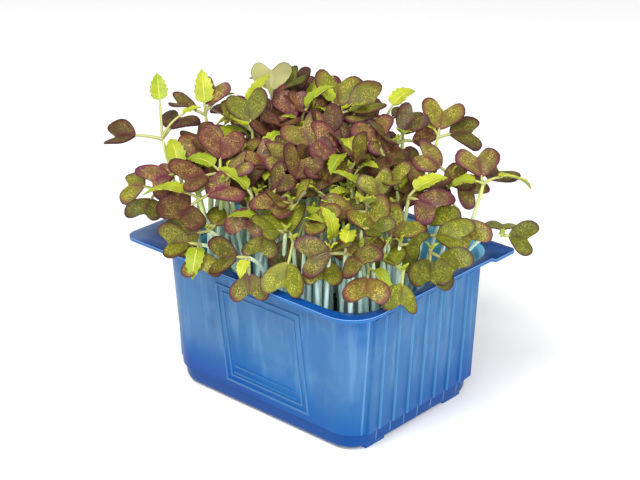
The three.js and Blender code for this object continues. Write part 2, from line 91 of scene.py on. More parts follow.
LUG_HEIGHT = 1.9
LUG_INSET = 1.1  # the lugs end this far inside the foot band
PLEAT_COUNT = 7  # equal pleats down a short side, after a narrower first one
PLEAT_PITCH = 7.7
FIRST_PLEAT = 5.8
PLEAT_START = -28.8
PLEAT_GAP = 0.4  # from a pleat's end to the next one
PLEAT_EDGE = 0.6  # a pleat's sharp edge stands out this far
PLEAT_END = 0.04  # and its other end this far
PLEAT_FACE = 0.1  # run of the steep face before the sharp edge
PLEAT_ROOT = 0.5  # depth of a pleat inside the wall
PLEAT_LIFT = 0.6  # pleats start this far over the foot band
PLEAT_DROP = 0.3  # and end this far under the collar
FRAME_LEFT = -15.6  # lower left corner of the frame on the panelled side
FRAME_WIDTH = 40.4
FRAME_LOW = 10.4
FRAME_HIGH = 49.2
FRAME_SLANT = 2.7  # the frame's top stands this far to the left of its foot
FRAME_INSET = 2.6  # from the outer frame to the inner one
FRAMES = [(0.0, 0.8, 0.4), (FRAME_INSET, 0.6, 0.3)]  # inset, width, how far they stand out
LOW_BARS = [(-10.9, 16.6, 17.4), (-12.0, 20.0, 14.6)]  # left end, right end, height
BAR_WIDTH = 0.9
BAR_PROUD = 0.3
BAR_ROOT = 0.6  # depth of a bar inside the wall
BAR_STAGGER = 0.03  # every second bar of a frame stands out this much more

# ---- Soil and sowing, millimetres and degrees -------------------------------

SOIL_TOP = 27.0  # height of the soil's surface
SOIL_X = 40.0  # stems stand within this half length
SOIL_Y = 29.0  # and this half width
SOIL_TRIM = 2.4  # the soil is this much smaller than its node
FOOT_TRIM = 1.6  # and its foot is smaller again by this many times as much
SOIL_CORNER = 9.0
SOIL_GRAIN = 1.1  # size of its faces
CRUMB = 3.2  # size of its crumbs
CRUMB_RISE = 1.6
HOLE_DEPTH = 6.0
GAP = 0.3  # clearance under a stem's foot in its hole
STEM = 0.85  # stem radius
STEM_SUNK = 3.0  # stems are shown from this far under the soil's surface
STEM_POINTS = 18
STALK = {"seed": 0.62, "true": 0.5}  # leaf stalk radius
STALK_TAPER = [1.15, 1.0, 0.95, 0.9, 0.85, 0.45]
STALK_SUNK = 0.12  # a stalk runs on under its blade for this share of the blade's length
CROWN_GAP = {"seed": 1.1, "true": 0.4}  # leaves part from the stem this far below its top
CAD_BLADE = 0.7  # leaf thickness in the nodes
CORNER_MATCH = 0.06  # a node's corner counts as found within this distance
CORNERS_FOUND = 0.6  # and a blade with this share of its corners
BLADE = 0.4  # leaf thickness
SEED_NOTCH = 0.72  # length of a seed leaf down to its notch, as a share of the whole
CURL = 4.6  # a seed leaf's edge curls down by its chance times this, less the next
CURL_LESS = 1.3
DOME = 0.45  # each lobe bulges this far
WAVE = 0.7  # a seed leaf's edge waves this far
RIPPLE = 0.3  # and a true leaf's this far
TEETH = 6  # down each side of a true leaf
CORNER_VIEW = 42.1  # plan turn from the tray's axes to the near corner's axes
SEEDLINGS = 58  # with those that stand by rule
CROWN_X = 47.0  # crowns by rule stand within this half length
CROWN_Y = 36.0  # and this half width
LEAN = 0.78  # a foot stands this share as far out as its crown
CROP_MIDDLE = 88.5  # height of the crop's surface over the middle of the tray
CROP_BEND = 15.0  # the surface rises steeply up to here
CROP_BACK = 45.0  # and gently up to here, then falls
NEAR_SLOPE = 0.4
FAR_SLOPE = 0.28
BACK_SLOPE = 0.5
LIGHT_TILT = 30.0  # leaves by rule tip this far towards the light over the near corner
TRIES = 130  # most steps tried to clear a stem or a leaf
STEM_STEP = 0.5
LEAF_STEP = 6.0
SPIRAL = 2.4  # radians from one step of a spiral to the next
STEM_SAMPLES = 24
STEM_ROOM = 3.4  # least distance between the sample points of two stems
SPOT_GRID = (11, 8)  # spots that the rule chooses crowns from
INNER_SEEDLINGS = 125  # smaller ones that fill in between
INNER_PIECES = 6
INNER_X = 42.5  # they stand within this half length, half width and corner radius
INNER_Y = 31.5
INNER_CORNER = 9.0
INNER_REACH = 0.9  # their crowns stand within this share of the crop
INNER_SPREAD = 1.12  # a foot stands this share as far out as its crown
INNER_LEAN = 12.0  # and up to half this far aside
INNER_ROOM = 1.9
INNER_TRIES = 60
INNER_GRID = (15, 12)
OPEN_SIDE = 27.0  # their crowns stand no further to the right than this

# First seed of each set of draws, and the step from one plant, row or piece to the next.
PLANT_SEEDS = (4001, 977)
ROW_SEEDS = (90001, 613)
INNER_ROW_SEEDS = (733, 101)
BUD_SEEDS = (7001, 37)
PIECE_SEEDS = (31, 17)
INNER_PIECE_SEEDS = (5, 19)
SPOT_SEED = 77
INNER_SPOT_SEED = 78
INNER_LEAN_SEED = 4177
INNER_ROW_NUMBER = 100  # the in-fill's rows and plants are numbered from here
INNER_PLANT_NUMBER = 500

# ---- Small helpers ----------------------------------------------------------


def deselect():
    """Leaves edit mode and selects nothing."""
    if bpy.context.object and bpy.context.object.mode != "OBJECT":
        bpy.ops.object.mode_set(mode="OBJECT")
    bpy.ops.object.select_all(action="DESELECT")


def pick(piece):
    """Makes one piece the only selected and active one."""
    deselect()
    piece.select_set(True)
    bpy.context.view_layer.objects.active = piece


def edit(piece):
    """Edit mode on one piece, with all of it selected."""
    pick(piece)
    bpy.ops.object.mode_set(mode="EDIT")
    bpy.ops.mesh.select_all(action="SELECT")


def leave_edit():
    bpy.ops.object.mode_set(mode="OBJECT")


def outward(piece):
    """Turns a piece's faces outward."""
    edit(piece)
    bpy.ops.mesh.normals_make_consistent(inside=False)
    leave_edit()


def apply_modifier(piece, kind, **settings):
    """Adds a modifier with its settings and applies it."""
    pick(piece)
    modifier = piece.modifiers.new(kind.lower(), kind)
    for name, value in settings.items():
        setattr(modifier, name, value)
    bpy.ops.object.modifier_apply(modifier=modifier.name)


def join(pieces, name):
    """One object out of several."""
    deselect()
    for piece in pieces:
        piece.select_set(True)
    bpy.context.view_layer.objects.active = pieces[0]
    if len(pieces) > 1:
        bpy.ops.object.join()
    pieces[0].name = name
    pieces[0].data.name = name
    return pieces[0]


def dice(first, step=0, number=0):
    """A seeded draw of numbers from 0 to 1, with a seed of its own for each number."""
    state = first + step * number

    def draw():
        nonlocal state
        state = (state * 1664525 + 1013904223) % 4294967296
        return state / 4294967296

    return draw


def within(value, low, high):
    return max(low, min(high, value))


# ---- Materials --------------------------------------------------------------


class Finish:
    """A material under construction: its nodes are added and wired by short calls."""

    def __init__(self, name, roughness=0.5, specular=0.5, coat=0.0, subsurface=0.0):
        self.material = bpy.data.materials.new(name)
        self.material.use_nodes = True
        self.tree = self.material.node_tree
        self.shader = self.tree.nodes["Principled BSDF"]
        constants = {
            "Roughness": roughness, "Specular IOR Level": specular,
            "Coat Weight": coat, "Coat Roughness": 0.15, "Subsurface Weight": subsurface,
            "Subsurface Scale": MM, "Subsurface Radius": (1.0, 0.8, 0.4),
        }
        for socket, value in constants.items():
            self.shader.inputs[socket].default_value = value
        self.place = self.node("ShaderNodeTexCoord").outputs["Object"]
        self.map = self.node("ShaderNodeTexCoord").outputs["UV"]

    def node(self, kind, inputs=None, **settings):
        """A new node with its settings, its inputs fed by other nodes or by constants."""
        made = self.tree.nodes.new(kind)
        for name, value in settings.items():
            setattr(made, name, value)
        for name, value in (inputs or {}).items():
            self.feed(made.inputs[name], value)
        return made

    def feed(self, socket, value):
        """Links a node's output to a socket, or sets the socket to a constant."""
        if isinstance(value, bpy.types.NodeSocket):
            self.tree.links.new(value, socket)
        elif isinstance(value, tuple) and len(value) == 3 and socket.type == "RGBA":
            socket.default_value = (*value, 1)
        else:
            socket.default_value = value

    def math(self, operation, *values, limit=False):
        made = self.node("ShaderNodeMath", operation=operation, use_clamp=limit)
        for socket, value in zip(made.inputs, values):
            self.feed(socket, value)
        return made.outputs[0]

    def times(self, a, b, limit=False):
        return self.math("MULTIPLY", a, b, limit=limit)

    def plus(self, a, b, limit=False):
        return self.math("ADD", a, b, limit=limit)

    def minus(self, a, b):
        return self.math("SUBTRACT", a, b)

    def off(self, value, middle=0.0):
        """How far a value is off a middle, either way."""
        return self.math("ABSOLUTE", self.minus(value, middle) if middle else value)

    def mix(self, share, a, b, blend="MIX"):
        inputs = {"Factor": share, "A": a, "B": b}
        return self.node("ShaderNodeMix", inputs, data_type="RGBA", blend_type=blend).outputs["Result"]

    def tint(self, skin, share, strength, colour):
        """A colour laid over the skin by its share, no stronger than the strength."""
        return self.mix(self.times(share, strength), skin, colour)

    def noise(self, scale, detail=2.0, roughness=0.5, where=None):
        inputs = {"Vector": where or self.place, "Scale": scale, "Detail": detail, "Roughness": roughness}
        return self.node("ShaderNodeTexNoise", inputs).outputs["Fac"]

    def ramp(self, value, *stops):
        """Soft steps between (place, colour or brightness) stops."""
        made = self.node("ShaderNodeValToRGB", {"Fac": value})
        band = made.color_ramp
        while len(band.elements) < len(stops):
            band.elements.new(0.5)
        for element, (place, colour) in zip(band.elements, stops):
            element.position = place
            element.color = (*colour, 1) if isinstance(colour, tuple) else (colour,) * 3 + (1,)
        return made.outputs["Color"]

    def between(self, value, low, high):
        """Rises softly from 0 at low to 1 at high, or falls where low is the greater."""
        inputs = {"Value": value, "From Min": low, "From Max": high}
        return self.node("ShaderNodeMapRange", inputs, interpolation_type="SMOOTHSTEP").outputs["Result"]

    def stretch(self, where, scale):
        return self.node("ShaderNodeMapping", {"Vector": where, "Scale": scale}).outputs["Vector"]

    def split(self, vector):
        return self.node("ShaderNodeSeparateXYZ", {"Vector": vector}).outputs

    def trait(self, name):
        """The three values of a leaf's own attribute."""
        made = self.node("ShaderNodeAttribute", attribute_name=name)
        return self.split(made.outputs["Vector"])

    def colour(self, value):
        self.feed(self.shader.inputs["Base Color"], value)

    def rough(self, value):
        self.feed(self.shader.inputs["Roughness"], value)

    def bump(self, height, strength, distance):
        made = self.node("ShaderNodeBump", {"Strength": strength, "Distance": distance, "Height": height})
        self.feed(self.shader.inputs["Normal"], made.outputs["Normal"])


def shade(red, green, blue):
    """A screen colour, 0 to 255, as the linear values that shaders take."""
    screen = (red / 255, green / 255, blue / 255)
    return tuple(((c + 0.055) / 1.055) ** 2.4 if c > 0.0393 else c / 12.92 for c in screen)


def blade_places(finish):
    """Across from the midrib (0) to the edge (1), and along from stalk (0) to tip (1)."""
    u, v, _ = finish.split(finish.map)
    return finish.off(finish.math("MULTIPLY_ADD", u, 2.0, -1.0)), v


def seed_leaf_top():
    """Olive to plum skin: a fine pale stipple in the lobes, a dusky border, a dark midrib and base."""
    finish = Finish("seed_leaf_top", roughness=0.46, specular=0.2, subsurface=0.04)
    across, along = blade_places(finish)
    purple, chance, light = finish.trait("tone")
    blotch = finish.noise(280, 3.0)
    olive = finish.mix(blotch, shade(62, 72, 8), shade(124, 126, 34))
    brown = finish.mix(blotch, shade(78, 39, 28), shade(122, 72, 54))
    mauve = finish.mix(blotch, shade(78, 30, 42), shade(124, 61, 76))
    plum = finish.mix(finish.between(chance, 0.35, 0.8), brown, mauve)
    lobe = finish.between(finish.off(across, 0.5), 0.48, 0.08)
    lobe = finish.times(lobe, finish.between(along, 0.08, 0.45))
    border = finish.between(across, 0.7, 1.0)
    share = finish.math("MULTIPLY_ADD", purple, 1.5, -0.2)
    share = finish.minus(share, finish.times(lobe, 0.4))
    share = finish.plus(share, finish.times(border, 0.45), limit=True)
    skin = finish.mix(share, olive, plum)
    fine = finish.between(finish.noise(2300, 1.0), 0.5, 0.62)
    coarse = finish.times(finish.between(finish.noise(1500, 2.0), 0.56, 0.68), 0.85)
    fleck = finish.math("MAXIMUM", finish.times(fine, 0.7), coarse)
    cluster = finish.between(finish.noise(330, 2.0), 0.36, 0.6)
    field = finish.times(finish.between(across, 0.96, 0.78), finish.between(across, 0.02, 0.16))
    field = finish.plus(finish.times(field, 0.55), finish.times(lobe, 0.5))
    where = finish.times(field, finish.plus(0.25, cluster))
    where = finish.times(where, finish.math("MULTIPLY_ADD", purple, -0.35, 1.0))
    fleck = finish.times(fleck, where, limit=True)
    skin = finish.mix(fleck, skin, finish.mix(purple, shade(160, 162, 50), shade(202, 164, 92)))
    skin = finish.tint(skin, finish.between(across, 0.91, 0.97), 0.7, shade(66, 34, 34))
    rib = finish.times(finish.between(across, 0.1, 0.0), finish.between(along, 1.0, 0.2))
    skin = finish.tint(skin, rib, 0.6, shade(98, 42, 48))
    base = finish.times(finish.between(along, 0.22, 0.0), finish.between(purple, 0.0, 0.5))
    skin = finish.tint(skin, base, 0.8, shade(104, 30, 60))
    skin = finish.mix(1.0, skin, finish.ramp(light, (0.0, 0.4), (0.7, 0.93)), "MULTIPLY")
    finish.colour(skin)
    finish.bump(finish.noise(520, 3.0), 0.5, 0.0005)
    return finish.material


def seed_leaf_under():
    """Pale grey green, painted paler than its own colour for light shining through from behind, with a
    dull blush where the top is plum.
    """
    finish = Finish("seed_leaf_under", roughness=0.6, specular=0.2, subsurface=0.1)
    across, _ = blade_places(finish)
    purple, _, _ = finish.trait("tone")
    skin = finish.mix(finish.noise(300), shade(144, 146, 88), shade(184, 180, 126))
    blush = finish.times(purple, finish.between(finish.noise(160), 0.4, 0.8))
    skin = finish.mix(blush, skin, shade(132, 104, 100))
    skin = finish.tint(skin, finish.between(across, 0.14, 0.02), 0.5, shade(186, 190, 140))
    finish.colour(skin)
    finish.bump(finish.noise(1000), 0.2, 0.0002)
    return finish.material


def true_leaf_side(name, dark, light, vein, roughness):
    """Bright green, greener on some leaves, with a pale midrib, side veins and rusty tooth tips."""
    finish = Finish(name, roughness=roughness, specular=0.4, subsurface=0.15)
    across, along = blade_places(finish)
    _, chance, _ = finish.trait("tone")
    skin = finish.mix(finish.noise(320, 3.0), dark, light)
    skin = finish.tint(skin, finish.between(chance, 0.4, 1.0), 0.6, dark)
    slant = finish.minus(finish.times(along, 7.0), finish.times(across, 2.2))
    ribs = finish.off(finish.math("FRACT", slant), 0.5)
    ribs = finish.times(finish.between(ribs, 0.10, 0.0), 0.45)
    rib = finish.math("MAXIMUM", ribs, finish.between(across, 0.11, 0.02))
    skin = finish.tint(skin, rib, 0.65, vein)
    tip = finish.times(finish.between(across, 0.9, 1.0), finish.between(finish.noise(600), 0.5, 0.62))
    skin = finish.tint(skin, tip, 0.7, shade(122, 92, 30))
    finish.colour(skin)
    finish.bump(finish.plus(rib, finish.noise(500, 3.0)), 0.5, 0.0005)
    return finish.material


def stem_skin():
    """White low down, painted brighter and bluer to stand in for the blue light coming through the tray,
    yellow green near the leaves, with faint long streaks.
    """
    finish = Finish("stem_skin", roughness=0.38, specular=0.45, subsurface=0.3)
    height = finish.split(finish.place)[2]
    # low down: pale stem colour with painted light, brightened and tinted blue for light through the tray
    low = finish.mix(finish.noise(60), shade(206, 242, 246), shade(224, 246, 232))
    high = finish.mix(finish.noise(80), shade(196, 204, 110), shade(160, 176, 84))
    skin = finish.mix(finish.between(height, 0.052, 0.084), low, high)
    streaks = finish.noise(40, where=finish.stretch(finish.place, (30, 30, 3)))
    skin = finish.tint(skin, finish.between(streaks, 0.45, 0.75), 0.35, shade(232, 242, 222))
    finish.colour(skin)
    return finish.material


def stalk_skin():
    """The leaf stalks: dull yellow green."""
    finish = Finish("stalk_skin", roughness=0.4, specular=0.45, subsurface=0.25)
    skin = finish.mix(finish.noise(120), shade(168, 180, 92), shade(150, 140, 96))
    finish.colour(skin)
    return finish.material


def soil_crumb():
    """Dark damp compost with lighter grains."""
    finish = Finish("soil_crumb", roughness=0.85, specular=0.25)
    grain = finish.noise(700, 5.0, 0.65)
    skin = finish.ramp(grain, (0.3, shade(20, 12, 9)), (0.5, shade(48, 32, 23)), (0.72, shade(92, 66, 46)))
    finish.colour(skin)
    finish.rough(finish.between(grain, 0.2, 0.7))
    finish.bump(grain, 0.9, 0.0012)
    return finish.material


def tray_wall():
    """Clouded blue plastic, milky above and deep blue below: painted light coming through the wall above
    the soil, painted shade of the soil and shadows behind it below; with light streaks and a painted
    highlight on each pleat ridge.
    """
    finish = Finish("tray_wall", roughness=0.36, specular=0.12, subsurface=0.05)
    x, y, z = finish.split(finish.place)
    cloud = finish.math("MULTIPLY_ADD", finish.noise(30, 4.0), 0.026, -0.013)
    slope = finish.times(finish.minus(x, finish.times(y, 0.3)), 0.08)
    level = finish.plus(z, finish.plus(cloud, slope))
    # painted light and shade: lighter above, where light comes through the plastic, deep blue below, the
    # shade of the soil behind it
    skin = finish.ramp(
        finish.math("DIVIDE", level, WALL_SHADE_TOP * MM),
        (0.06, shade(0, 58, 132)), (0.16, shade(4, 70, 142)), (0.3, shade(20, 82, 142)),
        (0.52, shade(46, 95, 142)), (0.95, shade(56, 100, 146)),
    )
    off_x, off_y = finish.off(x), finish.off(y)
    corner = finish.times(finish.between(off_x, 0.026, 0.046), finish.between(off_y, 0.014, 0.036))
    corner = finish.times(corner, finish.between(finish.plus(z, cloud), 0.036, 0.05))
    skin = finish.tint(skin, corner, 0.7, shade(14, 82, 148))
    skin = finish.mix(finish.between(z, 0.0072, 0.0064), skin, shade(0, 62, 128))
    mist = finish.between(finish.noise(42, 4.0, 0.6), 0.46, 0.62)
    mist = finish.times(mist, finish.between(z, 0.014, 0.026))
    skin = finish.tint(skin, mist, 0.2, shade(98, 134, 168))
    streaks = finish.noise(40, 3.0, where=finish.stretch(finish.place, (7, 7, 0.8)))
    pale = finish.times(finish.between(streaks, 0.5, 0.72), finish.between(z, 0.012, 0.03))
    skin = finish.tint(skin, pale, 0.35, shade(98, 140, 172))
    # a painted highlight along each pleat's sharp ridge
    ridge_y = (PLEAT_START + FIRST_PLEAT + PLEAT_FACE) * MM
    pitches = finish.math("DIVIDE", finish.minus(y, ridge_y - PLEAT_PITCH / 2 * MM), PLEAT_PITCH * MM)
    ridge_highlight = finish.between(finish.off(finish.math("FRACT", pitches), 0.5), 0.06, 0.02)
    ridge_highlight = finish.times(ridge_highlight, finish.between(off_x, 0.0445, 0.0455))
    ridge_highlight = finish.times(ridge_highlight, finish.between(off_y, 0.0325, 0.031))
    skin = finish.tint(skin, ridge_highlight, 0.4, shade(104, 156, 196))
    finish.colour(skin)
    finish.bump(finish.noise(90, 2.0), 0.08, 0.0004)
    return finish.material


def rim_plastic():
    """Deep blue on the flat rim, with a painted highlight line along its edge and milky plastic under it.
    """
    finish = Finish("tray_rim", roughness=0.3, specular=0.2, coat=0.05, subsurface=0.05)
    x, _, z = finish.split(finish.place)
    top = finish.mix(finish.noise(45, 3.0), shade(0, 54, 120), shade(0, 70, 140))
    side = finish.mix(finish.noise(60, 3.0), shade(20, 88, 150), shade(40, 104, 164))
    on_top = finish.between(z, (RIM - 0.7) * MM, (RIM - 0.35) * MM)
    skin = finish.mix(on_top, side, top)
    # a thin painted highlight along the rim's edge, just under its top
    line = finish.between(finish.off(z, (RIM - RIM_HIGHLIGHT_DEPTH) * MM), 0.16 * MM, 0.06 * MM)
    skin = finish.tint(skin, line, 0.6, shade(150, 186, 222))
    tab = finish.times(finish.between(x, -0.05, -0.056), on_top)
    skin = finish.tint(skin, tab, 0.55, shade(88, 116, 158))
    finish.colour(skin)
    finish.bump(finish.noise(140, 2.0), 0.06, 0.0003)
    return finish.material


def plain_plastic(name, low, high):
    """Smooth blue plastic, faintly clouded between two shades."""
    finish = Finish(name, roughness=0.28, specular=0.2, coat=0.04, subsurface=0.05)
    finish.colour(finish.mix(finish.noise(45, 3.0), low, high))
    finish.bump(finish.noise(140, 2.0), 0.06, 0.0003)
    return finish.material


# ---- Tray -------------------------------------------------------------------


def wall_inset(z):
    """How far the plain wall stands in from its top at a height."""
    return TAPER * (1 - (z - FOOT_DROP) / (COLLAR_FOOT - FOOT_DROP))


def rounded_ring(half_x, half_y, radius, segments):
    """A rounded rectangle's points, in order of their angle about the middle."""
    points = []
    for corner, (sx, sy) in enumerate([(1, 1), (-1, 1), (-1, -1), (1, -1)]):
        for step in range(segments + 1):
            angle = (corner + step / segments) * 90 * DEG
            x = sx * (half_x - radius) + radius * math.cos(angle)
            y = sy * (half_y - radius) + radius * math.sin(angle)
            points.append((x, y))
    return sorted(points, key=lambda point: math.atan2(point[1], point[0]))


def rounded_loft(name, sections, segments=9):
    """A closed tapered block, raised section by section from a plane.

    Each section has its height, how far it stands in from the wall's top, and its corner radius.
    """
    z, inset, radius = sections[0]
    bpy.ops.mesh.primitive_plane_add(size=1, location=(0, 0, z * MM))
    block = bpy.context.object
    block.name = name
    size = (2 * (HALF_X - inset) * MM, 2 * (HALF_Y - inset) * MM, 1)
    edit(block)
    bpy.ops.transform.resize(value=size, center_override=(0, 0, z * MM))
    bpy.ops.mesh.bevel(offset=radius * MM, segments=segments, affect="VERTICES")
    for level, _, _ in sections[1:]:
        bpy.ops.mesh.extrude_region_move(TRANSFORM_OT_translate={"value": (0, 0, (level - z) * MM)})
        z = level
    leave_edit()
    bpy.ops.object.transform_apply(location=True, rotation=True, scale=True)
    for level, inset, radius in sections:
        ring = rounded_ring(HALF_X - inset, HALF_Y - inset, radius, segments)
        held = [vertex for vertex in block.data.vertices if abs(vertex.co.z - level * MM) < 1e-6]
        held.sort(key=lambda vertex: math.atan2(vertex.co.y, vertex.co.x))
        for vertex, (x, y) in zip(held, ring):
            vertex.co.x, vertex.co.y = x * MM, y * MM
    outward(block)
    return block


def extruded_outline(name, outline, low, high):
    """A flat plate of the given outline between two heights."""
    curve = bpy.data.curves.new(name, "CURVE")
    curve.dimensions = "2D"
    curve.fill_mode = "BOTH"
    line = curve.splines.new("POLY")
    line.points.add(len(outline) - 1)
    for point, (x, y) in zip(line.points, outline):
        point.co = (x * MM, y * MM, 0, 1)
    line.use_cyclic_u = True
    curve.extrude = (high - low) / 2 * MM
    plate = bpy.data.objects.new(name, curve)
    bpy.context.scene.collection.objects.link(plate)
    plate.location.z = (high + low) / 2 * MM
    pick(plate)
    bpy.ops.object.convert(target="MESH")
    bpy.ops.object.transform_apply(location=True, rotation=True, scale=True)
    edit(plate)
    bpy.ops.mesh.remove_doubles(threshold=1e-6)
    leave_edit()
    outward(plate)
    return plate


def arc(x, y, radius, start, steps=8):
    """A quarter turn of points about a middle."""
    angles = [(start + 90 * step / steps) * DEG for step in range(steps + 1)]
    return [(x + radius * math.cos(angle), y + radius * math.sin(angle)) for angle in angles]


def rim_outline():
    """The flat rim, with a pull tab at the left corner and a break-off corner at the right."""
    tab, snap = RIM_X + TAB_REACH, RIM_X + SNAP_REACH
    return [
        *arc(RIM_X - RIM_CORNER, RIM_CORNER - RIM_Y, RIM_CORNER, -90),
        (RIM_X, RIM_Y - SNAP_LENGTH), (snap, RIM_Y - SNAP_LENGTH + SNAP_REACH / 2),
        (snap, RIM_Y - SNAP_CORNER), (snap - SNAP_CORNER, RIM_Y),
        *arc(RIM_CORNER - RIM_X, RIM_Y - RIM_CORNER, RIM_CORNER, 90),
        (-RIM_X, TAB_LENGTH - RIM_Y), (-tab, TAB_LENGTH - TAB_SLOPE - RIM_Y),
        *arc(TAB_CORNER - tab, TAB_CORNER - RIM_Y, TAB_CORNER, 180),
    ]


def boolean(body, tool, operation):
    """Cuts or joins a body with a tool, which is used up."""
    apply_modifier(body, "BOOLEAN", object=tool, operation=operation, solver="EXACT",
                   material_mode="TRANSFER")
    bpy.data.objects.remove(tool)


def pleat(edge, width, side):
    """One slim upright wedge of a short side, with a sharp edge towards one end."""
    low, high = FOOT_TOP + PLEAT_LIFT, COLLAR_FOOT - PLEAT_DROP
    bpy.ops.mesh.primitive_cube_add(size=1, location=(0, 0, 0))
    wedge = bpy.context.object
    face_x = [HALF_X - wall_inset(low), HALF_X - wall_inset(high)]
    for vertex in wedge.data.vertices:
        top = vertex.co.z > 0
        outer = vertex.co.x > 0
        near = vertex.co.y < 0
        proud = (PLEAT_EDGE if near else PLEAT_END) if outer else -PLEAT_ROOT
        x = (face_x[1] if top else face_x[0]) + proud
        y = edge + (PLEAT_FACE if outer else 0) if near else edge + width
        vertex.co = (side * x * MM, side * y * MM, (high if top else low) * MM)
    return wedge


def front_bar(start, end, width, proud):
    """A thin bar in relief on the front wall between two points, [x, z]."""
    start, end = Vector(start), Vector(end)
    along = (end - start).normalized()
    across = Vector((-along.y, along.x)) * (width / 2)
    bpy.ops.mesh.primitive_cube_add(size=1, location=(0, 0, 0))
    bar = bpy.context.object
    for vertex in bar.data.vertices:
        spot = (end if vertex.co.x > 0 else start) + across * (1 if vertex.co.z > 0 else -1)
        depth = proud if vertex.co.y < 0 else -BAR_ROOT
        vertex.co = (spot.x * MM, -(HALF_Y - wall_inset(spot.y) + depth) * MM, spot.y * MM)
    return bar


def front_frame(inset, width, proud):
    """A slanted four-sided frame of bars on the front wall, drawn in by an inset all round."""
    low, high = FRAME_LOW + inset, FRAME_HIGH - inset
    slant = FRAME_SLANT / (FRAME_HIGH - FRAME_LOW)
    foot = FRAME_LEFT + inset - slant * (low - FRAME_LOW)
    head = FRAME_LEFT + inset - slant * (high - FRAME_LOW)
    span = FRAME_WIDTH - 2 * inset
    corners = [(head, high), (foot, low), (foot + span, low), (head + span, high)]
    bars = []
    for i, corner in enumerate(corners):
        start, end = Vector(corner), Vector(corners[(i + 1) % 4])
        step = (end - start).normalized() * (width / 2)
        bars.append(front_bar(start - step, end + step, width, proud + BAR_STAGGER * (i % 2)))
    return bars


def fuse(body, part, look):
    """Joins a part of the tray to its body, with the part's own finish."""
    part.data.materials.append(look)
    boolean(body, part, "UNION")


def tray_body():
    """The outside: foot band, wall and collar."""
    foot = TAPER + FOOT_STEP
    return rounded_loft("tray_skin", [
        (FOOT_DROP, foot + 1.6, 9), (FOOT_DROP + 0.6, foot + 0.5, 9.6), (FOOT_DROP + 1.8, foot, 10),
        (FOOT_TOP, wall_inset(FOOT_TOP) + FOOT_STEP, 10.2), (FOOT_TOP + 0.4, wall_inset(FOOT_TOP), 10.8),
        (COLLAR_FOOT, 0, 12.3), (COLLAR_FOOT + 0.4, -COLLAR, 12.9), (RIM - 0.3, -COLLAR, 13),
    ])


def tray_cavity():
    """The hollow, which widens under the rim."""
    foot = TAPER + FOOT_STEP
    return rounded_loft("cavity", [
        (FOOT_DROP + 1.3, foot + 2.6, 8), (FOOT_DROP + 2.3, foot + WALL, 8.6),
        (FOOT_TOP + 1, wall_inset(FOOT_TOP + 1) + FOOT_STEP + WALL, 9), (RIM - 6.4, WALL + 0.3, 11),
        (RIM - 5.4, WALL - COLLAR + 0.1, 12), (RIM - 1.3, WALL - COLLAR - 0.1, 12.4),
        (RIM - 0.4, -0.9, 13), (RIM + 0.01, -1.5, 13.6),
    ])


def add_underside(body, look):
    """A panel, with a lug towards each end of both short sides."""
    foot = TAPER + FOOT_STEP
    fuse(body, rounded_loft("panel", [(0, foot + 4.4, 7), (FOOT_DROP + 1, foot + 3.4, 7.6)], 5), look)
    size = Vector((2 * (HALF_X - foot - LUG_INSET), LUG_LENGTH, LUG_HEIGHT)) * MM
    for y in (-LUG_PLACE, LUG_PLACE):
        middle = Vector((0, y, LUG_HEIGHT / 2)) * MM
        bpy.ops.mesh.primitive_cube_add(size=1, location=middle)
        lug = bpy.context.object
        edit(lug)
        bpy.ops.transform.resize(value=size, center_override=middle)
        leave_edit()
        fuse(body, lug, look)


def add_pleats(body, look):
    """Pleats down both short sides, the first of each row narrower."""
    for side in (1, -1):
        edge = PLEAT_START
        for i in range(PLEAT_COUNT + 1):
            pitch = PLEAT_PITCH if i else FIRST_PLEAT
            wedge = pleat(edge, pitch - PLEAT_GAP, side)
            outward(wedge)
            fuse(body, wedge, look)
            edge += pitch


def add_relief(body, frame_look, bar_look):
    """Two frames one inside the other on the front wall, and two long bars low in them."""
    for shape in FRAMES:
        for bar in front_frame(*shape):
            outward(bar)
            fuse(body, bar, frame_look)
    for left, right, height in LOW_BARS:
        bar = front_bar((left, height), (right, height), BAR_WIDTH, BAR_PROUD)
        outward(bar)
        fuse(body, bar, bar_look)


def make_tray(looks):
    """The whole moulded tray: body and flat rim, underside, hollow, pleats and relief."""
    body = tray_body()
    body.data.materials.append(looks["wall"])
    fuse(body, extruded_outline("flange", rim_outline(), RIM - RIM_THICK, RIM), looks["rim"])
    add_underside(body, looks["foot"])
    cavity = tray_cavity()
    cavity.data.materials.append(looks["inside"])
    boolean(body, cavity, "DIFFERENCE")
    add_pleats(body, looks["wall"])
    add_relief(body, looks["relief"], looks["bar"])
    apply_modifier(body, "BEVEL", width=ROUNDING * MM, segments=2,
                   limit_method="ANGLE", angle_limit=40 * DEG)
    pick(body)
    bpy.ops.object.shade_smooth_by_angle(angle=35 * DEG)
    return body


# ---- Soil -------------------------------------------------------------------


